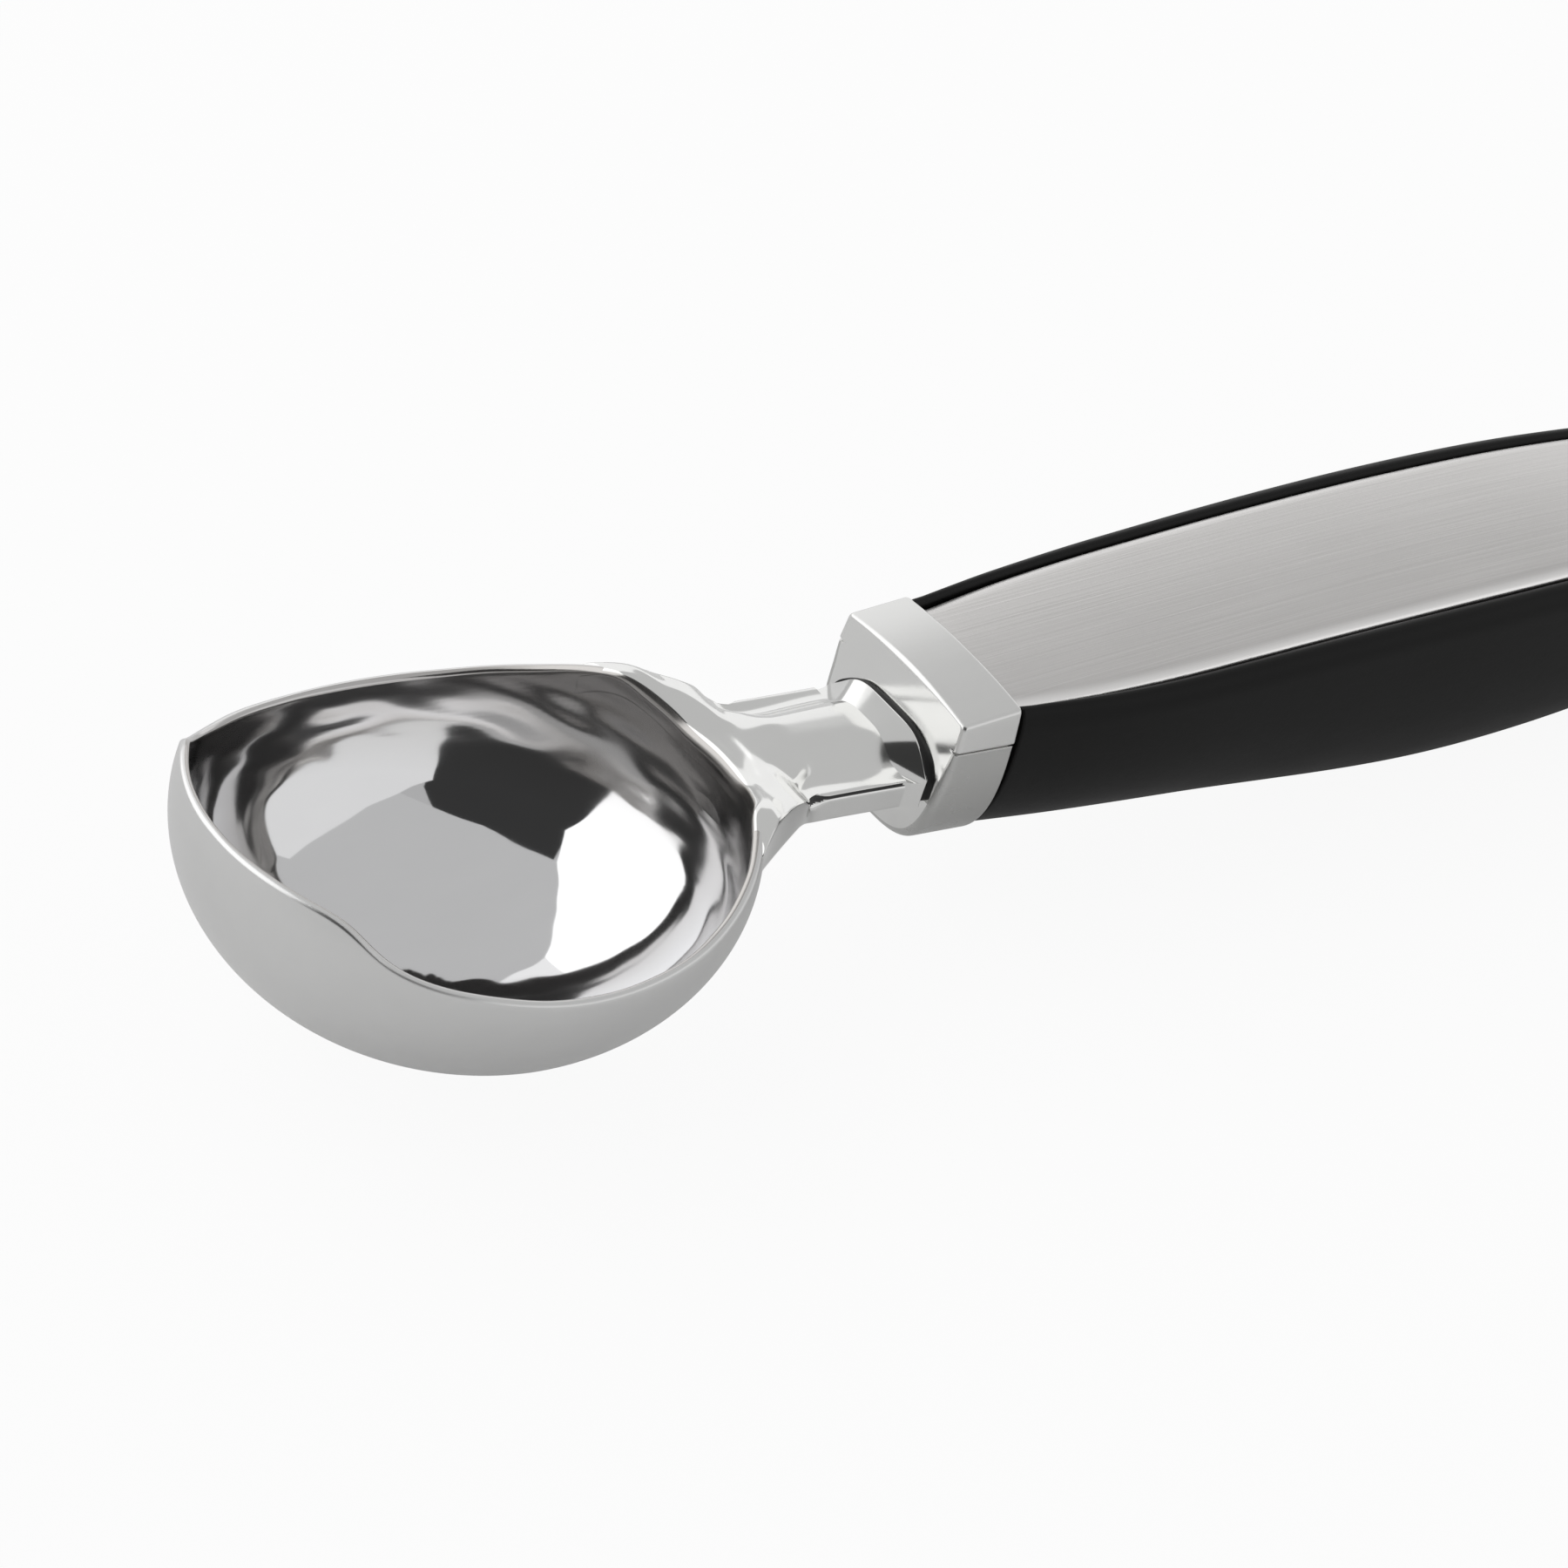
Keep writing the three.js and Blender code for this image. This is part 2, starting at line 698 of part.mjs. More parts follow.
function coreUpper() {
  const half = core().intersect(splitHalf(1));
  const bored = cut(
    half, tangBlock(gap, 0, tangEnd + gap),
    ...dowelPlaces.map((x) => dowel(x, gap)),
    ...screwPlaces.map((x) => screwHole(x, coreScrewSeat(x), coreScrewTip(x))),
    ...studPlaces.map(studHole),
  );
  return cut(join(bored, tongue(0, handleRear - bite)), screwHole(capScrewPlace, capScrewSeat, capScrewTip));
}

function coreLower() {
  const half = core().intersect(splitHalf(-1));
  return cut(
    half, tangBlock(gap, 0, tangEnd + gap),
    ...dowelPlaces.map((x) => dowel(x, gap)),
    ...screwPlaces.map((x) => screwHole(x, coreScrewSeat(x), coreScrewTip(x))),
  );
}

// The plate is crowned, with its long edges rolled down into the groove.
function plateSection(x) {
  const { top, plateHalf } = handleAt(x);
  const flat = plateHalf - plateRoll;
  const roll = spread(3, 0, Math.PI / 2).map((angle) => [
    flat + plateRoll * Math.cos(angle),
    top - plateRoll * (1 - Math.sin(angle)),
  ]);
  const arch = spread(8, flat, -flat).slice(1, -1).map((y) => [y, top + crownAt(y, flat)]);
  const base = top - plateThickness;
  const under = spread(8, -plateHalf, plateHalf).map((y) => [y, base + crownAt(y, plateHalf)]);
  return [...roll, ...arch, ...mirrored(roll), ...under];
}

function topPlate() {
  return solid(loft(handlePlaces, handlePlaces.map(plateSection)));
}

// End cap: carries the handle's outer section round to a blunt end, with a hole to hang it by.
function capSection(share) {
  const { top, plateHalf, grip, widest, bottom } = handleAt(handleRear);
  const scale = (1 - share ** endRoundness) ** (1 / endRoundness);
  const middle = (top + bottom) / 2;
  const shoulder = spread(4, 0, Math.PI / 2).map((angle) => [
    plateHalf + (grip - plateHalf) * Math.cos(angle),
    widest + (top - widest) * Math.sin(angle),
  ]);
  const arch = spread(8, plateHalf, -plateHalf).slice(1, -1).map((y) => [y, top + crownAt(y, plateHalf)]);
  const below = lowerCurve(grip, widest, bottom, 20).slice(1, -1).toReversed();
  const section = [...shoulder, ...arch, ...mirrored(shoulder), ...below];
  return section.map(([y, z]) => [y * scale, middle + (z - middle) * scale]);
}

function endCap() {
  const shares = spread(8, 0, Math.asin(endShare)).map(Math.sin);
  const body = solid(loft(shares.map((share) => capFront + share * capLength), shares.map(capSection)));
  const hole = solid(post(hangHoleRadius, -far, far, capFront + hangHolePlace, 28));
  return cut(
    body, hole, tongue(gap, handleRear - bite), screwHole(capScrewPlace, capScrewSeat, capScrewTip), table,
  );
}

// The scoop along its own axis, tipped onto the table
const scoop = new THREE.Group();
scoop.add(
  piece("scoop_head", scoopHead(), finishes.castMetal),
  piece("neck_seal", neckSeal(), finishes.seal),
  piece("collar_body", collarBody(), finishes.satinMetal),
  piece("collar_cap", collarCap(), finishes.satinMetal),
  piece("core_upper", coreUpper(), finishes.nylon),
  piece("core_lower", coreLower(), finishes.nylon),
  piece("soft_grip", softGrip(), finishes.softGrip),
  piece("top_plate", topPlate(), finishes.brushedSteel),
  piece("end_cap", endCap(), finishes.satinMetal),
  piece("end_cap_screw", screw(capScrewPlace, capScrewSeat, capScrewTip), finishes.zincSteel),
);
dowelPlaces.forEach((x, i) => scoop.add(piece(`tang_dowel_${i + 1}`, dowel(x, 0), finishes.zincSteel)));
screwPlaces.forEach((x, i) => {
  const body = screw(x, coreScrewSeat(x), coreScrewTip(x));
  scoop.add(piece(`core_screw_${i + 1}`, body, finishes.zincSteel));
});
studPlaces.forEach((x, i) => {
  scoop.add(piece(`plate_stud_${i + 1}`, plateStud(x), finishes.brushedSteel));
  scoop.add(piece(`push_nut_${i + 1}`, pushNut(x), finishes.zincSteel));
});
scoop.rotation.y = restPitch;
scoop.position.z = restHeight;

const part = new THREE.Group();
part.add(scoop);
part.updateMatrixWorld(true);
const reach = new THREE.Box3().setFromObject(part, true);
scoop.position.x -= (reach.min.x + reach.max.x) / 2;

export default part;
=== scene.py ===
from functools import lru_cache
from math import atan2, copysign, cos, degrees, exp, hypot, pi, radians, sin, sqrt, tan

import bmesh
import bpy
from mathutils import Matrix, Vector, noise


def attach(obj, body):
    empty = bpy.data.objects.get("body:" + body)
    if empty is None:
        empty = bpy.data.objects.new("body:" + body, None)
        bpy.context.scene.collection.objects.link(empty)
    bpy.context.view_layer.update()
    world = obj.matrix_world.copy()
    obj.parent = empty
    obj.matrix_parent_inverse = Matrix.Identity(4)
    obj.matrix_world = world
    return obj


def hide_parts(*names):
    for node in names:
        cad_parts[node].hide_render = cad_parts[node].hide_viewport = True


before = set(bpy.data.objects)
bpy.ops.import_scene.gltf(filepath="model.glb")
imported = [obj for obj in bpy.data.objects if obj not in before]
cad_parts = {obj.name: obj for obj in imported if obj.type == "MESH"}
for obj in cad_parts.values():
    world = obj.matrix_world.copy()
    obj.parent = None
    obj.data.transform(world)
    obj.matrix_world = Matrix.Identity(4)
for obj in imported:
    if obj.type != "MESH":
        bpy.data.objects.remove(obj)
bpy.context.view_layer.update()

# Pieces are drawn in millimetres along the neck: x runs from the bowl's middle to the handle's end,
# y across and z up. REST lays them on the table, in metres.
REST_PITCH, REST_PLACE, METRES_PER_MM = radians(6.728027), (-0.07832799, 0, 0.02213763), 0.001
REST_TURN = Matrix.Rotation(REST_PITCH, 4, "Y")
REST = Matrix.Translation(REST_PLACE) @ REST_TURN @ Matrix.Scale(METRES_PER_MM, 4)


# Lines and shares
def lerp(a, b, t):
    return a + (b - a) * t


def share(place, start, end):
    """How far a place has come from start to end."""
    return (place - start) / (end - start)


def ease(place, start, end):
    """That share held between 0 and 1, with a soft start and a soft end."""
    t = min(max(share(place, start, end), 0), 1)
    return t * t * (3 - 2 * t)


def curve(*points):
    """A smooth line through a few points, read at a place."""

    def slope(i):
        before, after = points[max(i - 1, 0)], points[min(i + 1, len(points) - 1)]
        return (after[1] - before[1]) / (after[0] - before[0])

    def read(place):
        i = 0
        while i < len(points) - 2 and place >= points[i + 1][0]:
            i += 1
        (x0, y0), (x1, y1) = points[i], points[i + 1]
        t = min(max(share(place, x0, x1), 0), 1)
        pull = (x1 - x0) * t * (1 - t) * ((1 - t) * slope(i) - t * slope(i + 1))
        return lerp(y0, y1, ease(place, x0, x1)) + pull

    return read


# Outlines, whose points are (across, up)
def arc(count, start, end, at):
    return [at(lerp(start, end, i / count)) for i in range(count + 1)]


def oval(half, height, roundness, level):
    """Half an oval over a level, or under it with a height below 0, read at an angle.
    A higher roundness makes it squarer."""

    def at(angle):
        c, s = cos(angle), sin(angle)
        return copysign(abs(c) ** (2 / roundness) * half, c), level + abs(s) ** (2 / roundness) * height

    return at


def quarter(inner, outer, low, high):
    """A quarter of an oval from outer and low to inner and high, read at an angle."""
    return lambda angle: (lerp(inner, outer, cos(angle)), lerp(low, high, sin(angle)))


def crowned(half, top, rise):
    """A line across that rises towards its middle, read at a place across."""
    return lambda y: (y, top + rise * (1 - (y / half) ** 2))


def other_side(points):
    """A stretch of an outline on the other side, so that the outline goes on round."""
    return [(-y, z) for y, z in reversed(points)]


def even(points):
    """A closed outline read at a share of its length."""
    closed = [Vector(p) for p in points] + [Vector(points[0])]
    lengths = [0.0]
    for a, b in zip(closed, closed[1:]):
        lengths.append(lengths[-1] + (b - a).length)

    @lru_cache(None)
    def read(u):
        place = u * lengths[-1]
        i = 0
        while i < len(closed) - 2 and lengths[i + 1] < place:
            i += 1
        span = lengths[i + 1] - lengths[i]
        return closed[i].lerp(closed[i + 1], (place - lengths[i]) / span if span else 0)

    return read


# Meshes and pieces
GRID_HALF, MERGE = 0.5, 1e-4


def skin(place, around, along, inside=None):
    """A sheet rolled into a closed skin: place(u, w) gives the point at a share around and a share along.
    Faces past the share given by inside take the second material."""
    bm = bmesh.new()
    bmesh.ops.create_grid(bm, x_segments=around, y_segments=along, size=GRID_HALF)
    if inside is not None:
        for face in bm.faces:
            face.material_index = int(face.calc_center_median().y + GRID_HALF > inside)
    for vert in bm.verts:
        vert.co = place(vert.co.x + GRID_HALF, vert.co.y + GRID_HALF)
    bmesh.ops.remove_doubles(bm, verts=bm.verts, dist=MERGE)
    return bm


def close_ends(bm):
    open_edges = [edge for edge in bm.edges if edge.is_boundary]
    if open_edges:
        bmesh.ops.holes_fill(bm, edges=open_edges)


def shade(bm, crease):
    """Smooth shading, broken at edges that are sharper than the crease."""
    for face in bm.faces:
        face.smooth = True
    for edge in bm.edges:
        edge.smooth = edge.calc_face_angle(0) < radians(crease)


def make_object(name, bm, materials=()):
    mesh = bpy.data.meshes.new(name)
    bm.to_mesh(mesh)
    bm.free()
    for material in materials:
        mesh.materials.append(material)
    made = bpy.data.objects.new(name, mesh)
    bpy.context.scene.collection.objects.link(made)
    return made


def finish_piece(name, bm, materials, nodes=(), crease=35):
    """Lays the shape on the table, shades it and hands it to the frame."""
    bmesh.ops.recalc_face_normals(bm, faces=bm.faces)
    bmesh.ops.transform(bm, matrix=REST, verts=bm.verts)
    for vert in bm.verts:
        vert.co.z = max(vert.co.z, 0)
    shade(bm, crease)
    piece = make_object(name, bm, materials)
    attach(piece, "root")
    if nodes:
        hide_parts(*nodes)
    return piece


# Finishes
def make_group(name, inputs, outputs):
    tree = bpy.data.node_groups.new(name, "ShaderNodeTree")
    for label, value in inputs.items():
        socket = tree.interface.new_socket(label, in_out="INPUT", socket_type="NodeSocketFloat")
        socket.default_value = value
    for label in outputs:
        tree.interface.new_socket(label, in_out="OUTPUT", socket_type="NodeSocketFloat")
    return tree, tree.nodes.new("NodeGroupInput"), tree.nodes.new("NodeGroupOutput")


def add(tree, kind, **sets):
    node = tree.nodes.new(kind)
    for key, value in sets.items():
        if hasattr(node, key):
            setattr(node, key, value)
        else:
            node.inputs[key.replace("_", " ")].default_value = value
    return node


def calc(tree, operation, first, second):
    """A math node on two values, each a number or another node's output."""
    node = add(tree, "ShaderNodeMath", operation=operation)
    for socket, value in zip(node.inputs, (first, second)):
        if isinstance(value, (int, float)):
            socket.default_value = value
        else:
            tree.links.new(value, socket)
    return node.outputs[0]


def weighted(tree, first, first_share, second, second_share):
    """Two values added, each times its share."""
    return calc(tree, "ADD", calc(tree, "MULTIPLY", first, first_share),
                calc(tree, "MULTIPLY", second, second_share))


def object_noise(tree, stretch, scale, detail, roughness):
    coords = add(tree, "ShaderNodeTexCoord")
    mapping = add(tree, "ShaderNodeMapping")
    mapping.inputs["Scale"].default_value = stretch
    tree.links.new(coords.outputs["Object"], mapping.inputs["Vector"])
    texture = add(tree, "ShaderNodeTexNoise", Scale=scale, Detail=detail, Roughness=roughness)
    tree.links.new(mapping.outputs["Vector"], texture.inputs["Vector"])
    return texture.outputs["Fac"]


NOISE_MIDDLE = 0.5

# Cloudy handling marks: a roughness that drifts over the surface and a light and dark mask
CLOUD_SHARE, SMEAR_SHARE, SWING = 0.65, 0.35, 2.0
marks_tree, marks_in, marks_out = make_group(
    "handling_marks", {"Roughness": 0.2, "Drift": 0.05}, ("Roughness", "Shade"))
clouds = object_noise(marks_tree, stretch=(1, 1, 1), scale=55.0, detail=4.0, roughness=0.6)
smears = object_noise(marks_tree, stretch=(0.4, 1.6, 1.6), scale=180.0, detail=3.0, roughness=0.55)
mixed = weighted(marks_tree, clouds, CLOUD_SHARE, smears, SMEAR_SHARE)
off_middle = calc(marks_tree, "SUBTRACT", mixed, NOISE_MIDDLE)
drifted = calc(marks_tree, "MULTIPLY", off_middle, marks_in.outputs["Drift"])
swing = calc(marks_tree, "MULTIPLY", drifted, SWING)
marks_tree.links.new(calc(marks_tree, "ADD", marks_in.outputs["Roughness"], swing),
                     marks_out.inputs["Roughness"])
marks_tree.links.new(mixed, marks_out.inputs["Shade"])

# Fine grain: the height of a blasted, cast or moulded skin
grain_tree, grain_in, grain_out = make_group("fine_grain", {"Fine": 0.5}, ("Height",))
coarse = object_noise(grain_tree, stretch=(1, 1, 1), scale=900.0, detail=2.0, roughness=0.5)
fine = object_noise(grain_tree, stretch=(1, 1, 1), scale=3200.0, detail=2.0, roughness=0.6)
finer = calc(grain_tree, "MULTIPLY", fine, grain_in.outputs["Fine"])
grain_tree.links.new(calc(grain_tree, "ADD", coarse, finer), grain_out.inputs["Height"])

# Brush lines: fine scratches along the handle
LONG_SHARE, SHORT_SHARE = 0.6, 0.4
brush_tree, brush_in, brush_out = make_group("brush_lines", {"Contrast": 1.0}, ("Height", "Shade"))
long_lines = object_noise(brush_tree, stretch=(9, 2600, 0), scale=1.0, detail=3.0, roughness=0.65)
short_lines = object_noise(brush_tree, stretch=(60, 5200, 0), scale=1.0, detail=2.0, roughness=0.6)
lines = weighted(brush_tree, long_lines, LONG_SHARE, short_lines, SHORT_SHARE)
centred = calc(brush_tree, "SUBTRACT", lines, NOISE_MIDDLE)
stronger = calc(brush_tree, "MULTIPLY", centred, brush_in.outputs["Contrast"])
level = calc(brush_tree, "ADD", stronger, NOISE_MIDDLE)
brush_tree.links.new(level, brush_out.inputs["Height"])
brush_tree.links.new(level, brush_out.inputs["Shade"])

BUMP_DISTANCE = 0.00005
LINES_IN_SHADE, MARKS_IN_SHADE = 0.7, 0.3
# Sockets of the node that mixes two colours
MIX_AMOUNT, MIX_FIRST, MIX_SECOND, MIX_RESULT = 0, 6, 7, 2


def make_finish(name, dark, light, roughness, drift, metallic=1.0,
                relief=None, relief_value=0.0, bump=0.0, **sockets):
    """A finish with cloudy marks, a colour that drifts between two shades and a fine relief."""
    material = bpy.data.materials.new(name)
    material.use_nodes = True
    tree = material.node_tree
    shader = tree.nodes["Principled BSDF"]
    shader.inputs["Metallic"].default_value = metallic
    for key, value in sockets.items():
        shader.inputs[key.replace("_", " ")].default_value = value
    marks = add(tree, "ShaderNodeGroup", node_tree=marks_tree)
    marks.inputs["Roughness"].default_value = roughness
    marks.inputs["Drift"].default_value = drift
    tree.links.new(marks.outputs["Roughness"], shader.inputs["Roughness"])
    mix = add(tree, "ShaderNodeMix", data_type="RGBA")
    mix.inputs[MIX_FIRST].default_value = (*dark, 1)
    mix.inputs[MIX_SECOND].default_value = (*light, 1)
    mask = marks.outputs["Shade"]
    if relief is not None:
        surface = add(tree, "ShaderNodeGroup", node_tree=relief)
        surface.inputs[0].default_value = relief_value
        height = add(tree, "ShaderNodeBump", Strength=bump, Distance=BUMP_DISTANCE)
        tree.links.new(surface.outputs["Height"], height.inputs["Height"])
        tree.links.new(height.outputs["Normal"], shader.inputs["Normal"])
        if "Shade" in surface.outputs:
            mask = weighted(tree, surface.outputs["Shade"], LINES_IN_SHADE, mask, MARKS_IN_SHADE)
    tree.links.new(mask, mix.inputs[MIX_AMOUNT])
    tree.links.new(mix.outputs[MIX_RESULT], shader.inputs["Base Color"])
    return material


def tint(material, colour, amount):
    """Blends a finish's colour towards another, by an amount that varies over the surface."""
    tree = material.node_tree
    base = tree.nodes["Principled BSDF"].inputs["Base Color"]
    mix = add(tree, "ShaderNodeMix", data_type="RGBA")
    mix.inputs[MIX_SECOND].default_value = (*colour, 1)
    tree.links.new(amount, mix.inputs[MIX_AMOUNT])
    tree.links.new(base.links[0].from_socket, mix.inputs[MIX_FIRST])
    tree.links.new(mix.outputs[MIX_RESULT], base)


DULL_START, DULL_FULL, DULL_LEAN, DULL_ROUGHNESS = -0.0007, 0.0113, 0.17, 0.2


def dull_towards_lip(material):
    """Makes a polish rougher and browner towards the lip, starting lower on the neck's side."""
    tree = material.node_tree
    roughness = tree.nodes["Principled BSDF"].inputs["Roughness"]
    coords = add(tree, "ShaderNodeTexCoord")
    place = add(tree, "ShaderNodeSeparateXYZ")
    tree.links.new(coords.outputs["Object"], place.inputs[0])
    towards_neck = calc(tree, "MULTIPLY", place.outputs["X"], DULL_LEAN)
    dulling = add(tree, "ShaderNodeMapRange", From_Min=DULL_START, From_Max=DULL_FULL)
    tree.links.new(calc(tree, "ADD", place.outputs["Z"], towards_neck), dulling.inputs["Value"])
    amount = dulling.outputs["Result"]
    rougher = calc(tree, "MULTIPLY", amount, DULL_ROUGHNESS)
    tree.links.new(calc(tree, "ADD", roughness.links[0].from_socket, rougher), roughness)
    tint(material, (0.47, 0.455, 0.44), amount)


mirror_metal = make_finish("mirror_metal", (0.69, 0.69, 0.70), (0.76, 0.76, 0.765), roughness=0.045,
                           drift=0.03)
dull_towards_lip(mirror_metal)
satin_cast = make_finish("satin_cast", (0.66, 0.66, 0.655), (0.745, 0.745, 0.74), roughness=0.30,
                         drift=0.05, relief=grain_tree, relief_value=0.7, bump=0.06)
polished_neck = make_finish("polished_neck", (0.70, 0.70, 0.69), (0.78, 0.78, 0.77), roughness=0.12,
                            drift=0.04, relief=grain_tree, relief_value=0.3, bump=0.04)
satin_collar = make_finish("satin_collar", (0.68, 0.68, 0.67), (0.76, 0.76, 0.75), roughness=0.29,
                           drift=0.05, relief=grain_tree, relief_value=0.5, bump=0.06)
# A darker copy of the collar's satin for its lower part: painted shade
satin_painted_shade = make_finish("satin_painted_shade", (0.5, 0.5, 0.49), (0.57, 0.57, 0.56), roughness=0.27,
                         drift=0.05, relief=grain_tree, relief_value=0.5, bump=0.06)
brushed_plate = make_finish("brushed_plate", (0.52, 0.51, 0.5), (0.7, 0.686, 0.677), roughness=0.33,
                            drift=0.05, relief=brush_tree, relief_value=1.6, bump=0.35)
soft_rubber = make_finish("soft_rubber", (0.0038, 0.0038, 0.0038), (0.006, 0.006, 0.0058), roughness=0.47,
                          drift=0.10, metallic=0.0, relief=grain_tree, relief_value=0.8, bump=0.2,
                          Specular_IOR_Level=0.2)
seal_rubber = make_finish("seal_rubber", (0.004, 0.004, 0.004), (0.007, 0.007, 0.007), roughness=0.6,
                          drift=0.1, metallic=0.0, relief=grain_tree, relief_value=0.5, bump=0.2)
# A near-black finish for the faces inside the ledge groove: painted shade
groove_painted_shade = make_finish("groove_painted_shade", (0.05, 0.05, 0.05), (0.1, 0.1, 0.1), roughness=0.6,
                          drift=0.1, metallic=0.0)
moulded_nylon = make_finish("moulded_nylon", (0.018, 0.018, 0.02), (0.026, 0.026, 0.028), roughness=0.5,
                            drift=0.1, metallic=0.0, relief=grain_tree, relief_value=0.6, bump=0.2)
zinc_plating = make_finish("zinc_plating", (0.45, 0.46, 0.47), (0.56, 0.57, 0.58), roughness=0.32,
                           drift=0.1, relief=grain_tree, relief_value=0.6, bump=0.15)
# Painted highlight: the plate's colour turns near white along its rolled edges
painted_edge_highlight = add(brushed_plate.node_tree, "ShaderNodeAttribute", attribute_name="edge")
tint(brushed_plate, (0.97, 0.96, 0.95), painted_edge_highlight.outputs["Fac"])

# Bowl: an egg-shaped shell. Its lip dips at the neck between two horns, sinks along the sides and rises
# to the tip. The lip's height and the horns are given by their direction in degrees from the neck.
BOWL = Vector((29.4, 26.6, 22.2))
HOLLOW = Vector((28.3, 25.5, 20.0))
BOWL_TILT = radians(3)
FRONT_SLIM = 0.012
LIP = 0.5
HORN, HORN_END, LIP_HIDDEN = 24.5, 30.5, 1.6
WAVES_LOW, WAVES_HIGH, WAVES_START, WAVES_FULL = 0.0006, 0.0055, 1.0, 1.45
WAVES_ROUND, WAVES_UP = 4, 11
LOWEST_POLAR, HIGHEST_POLAR, HALVINGS = 0.6, 2.3, 36
OUTSIDE_END, INSIDE_START = 0.45, 0.55
lip_height = curve(
    (0, 3.3), (9, 3.4), (16, 4.4), (23, 5.3), (27, 5.35), (32, 4.6), (47, 2.0), (67, -0.4), (96, -1.65),
    (121, -0.9), (130, -0.25), (137, 0.8), (147.5, 3.4), (157, 4.05), (180, 4.25),
)


def egg(size, polar, turn):
    """A point of an egg's wall: polar counts up from its lowest point, turn goes round from the neck."""
    x = size.x * sin(polar) * cos(turn)
    z = -size.z * cos(polar)
    y = size.y * sin(polar) * sin(turn)
    return Vector((x * cos(BOWL_TILT) + z * sin(BOWL_TILT), y, z * cos(BOWL_TILT) - x * sin(BOWL_TILT)))


def polar_at(size, turn, height):
    """How far up an egg's wall a height lies, found by halving."""
    low, high = LOWEST_POLAR, HIGHEST_POLAR
    for step in range(HALVINGS):
        middle = (low + high) / 2
        if egg(size, middle, turn).z < height:
            low = middle
        else:
            high = middle
    return low


def outer_wall(polar, turn):
    """A point of the outside, which is a little slimmer below the tip."""
    return egg(BOWL * (1 - FRONT_SLIM * max(-cos(turn), 0) * max(sin(2 * polar), 0)), polar, turn)


def inner_wall(polar, turn, shrink=1.0):
    """A point of the hollow, whose polish leaves small waves that grow towards the lip."""
    depth = lerp(WAVES_LOW, WAVES_HIGH, ease(polar, WAVES_START, WAVES_FULL))
    wave = noise.noise(Vector((WAVES_ROUND * cos(turn), WAVES_ROUND * sin(turn), WAVES_UP * polar)))
    return egg(HOLLOW * shrink * (1 + depth * wave), polar, turn)


def turn_at(size, direction):
    """An egg's turn in a direction given in degrees from the neck."""
    return atan2(sin(radians(direction)) / size.y, cos(radians(direction)) / size.x)


def outer_wall_at(size, direction, height):
    turn = turn_at(size, direction)
    return egg(size, polar_at(size, turn, height), turn)


def inner_wall_at(direction, height, shrink=1.0):
    turn = turn_at(HOLLOW, direction)
    return inner_wall(polar_at(HOLLOW, turn, height), turn, shrink)


@lru_cache(None)
def lip_at(turn):
    """How far up the outer and inner walls reach at a turn. The neck hides the lip between the horns."""
    direction = abs(degrees(atan2(BOWL.y * sin(turn), BOWL.x * cos(turn))))
    hidden = 1 - ease(direction, HORN, HORN_END)
    height = lip_height(direction) - LIP - LIP_HIDDEN * hidden
    return polar_at(BOWL, turn, height), polar_at(HOLLOW, turn, height)


def bowl_point(u, w):
    """Up the outside, over the rounded lip and down the inside."""
    turn = round(2 * pi * u, 6)
    outer, inner = lip_at(turn)
    if w < OUTSIDE_END:
        return outer_wall(outer * share(w, 0, OUTSIDE_END), turn)
    if w > INSIDE_START:
        return inner_wall(inner * share(w, 1, INSIDE_START), turn)
    outside, inside = outer_wall(outer, turn), inner_wall(inner, turn)
    angle = pi * share(w, OUTSIDE_END, INSIDE_START)
    middle = (outside + inside) / 2
    return middle + (outside - inside) / 2 * cos(angle) + Vector((0, 0, LIP * sin(angle)))


finish_piece("bowl", skin(bowl_point, around=288, along=160, inside=0.5), [satin_cast, mirror_metal],
             ["scoop_head"], crease=80)

# Neck: a thin web spreads from the dipped lip, narrows, and becomes a bar with a dome between two ledges.
# Its skin goes up the bowl's wall, over the lip, along the web and along the bar.
ROOT_SPREAD, ROOT_DEPTH, ROOT_ROLL, ROOT_BURIED = 36, 3.0, 1.2, 2
ROLL_FADE, ROLL_FADED = 0.55, 0.8
TUCK, TUCK_FROM, TUCK_FADE = 0.5, 0.86, 0.2
PROUD_OF_WALL = 0.9985
BURIED_END, CLIMB_END, ROLL_END, WEB_SHARE = 0.05, 0.2, 0.3, 0.72
WEB_START, WEB_END, NECK_REAR = 22.5, 32.0, 45.6
WEB_CORNER = 0.12
TROUGH_IN, TROUGH_OUT = 1.5, 6.5
CREST_TOP, CREST_AT, CREST_FALL, CREST_LEAST = 4.65, 27.6, 0.047, 3.5
LIP_SLOPE_START, LIP_SLOPE_END = 0.8, 3.0
DOME_TOP, DOME_POWER = 4.65, 4
DOME_SLIM, DOME_SLIM_AT, DOME_WIDE, DOME_WIDE_AT = 4.5, 35, 5.0, 44
MIDDLE_START, MIDDLE_RUN, FLANK_START, FLANK_RUN = 33.9, 2.6, 31.6, 1.7
FLANK_IN, FLANK_OUT = 4.5, 7.5
LEDGE_TOP, LEDGE_RISE, LEDGE_IN, LEDGE_OUT = 2.4, 0.2, 5.4, 8.4
WEB_KEEL, WEB_LOW, BAR_LOW, BAR_BLEND, UNDERCUT = -2.2, 0.5, -0.65, 3, 0.15
UNDER_SIZE, UNDER_WIDER, UNDER_MIDDLE, UNDER_SIDE = 0.98, 2, -7, 1.2
MIDWALL = (BOWL + HOLLOW) / 2
TOP_SHARE, SIDE_SHARE = 0.36, 0.14
NECK_SWEEPS = 10
neck_half = curve(
    (22.4, 16.75), (25, 14.5), (27, 12.95), (29, 11.6), (31, 10.5), (32, 10.05), (33, 9.4), (34, 8.7),
    (35.2, 8.4), (46, 8.4),
)
middle_height = curve((28, 3.2), (29.2, 3.4), (34, 4.45), (36, DOME_TOP), (46, DOME_TOP))


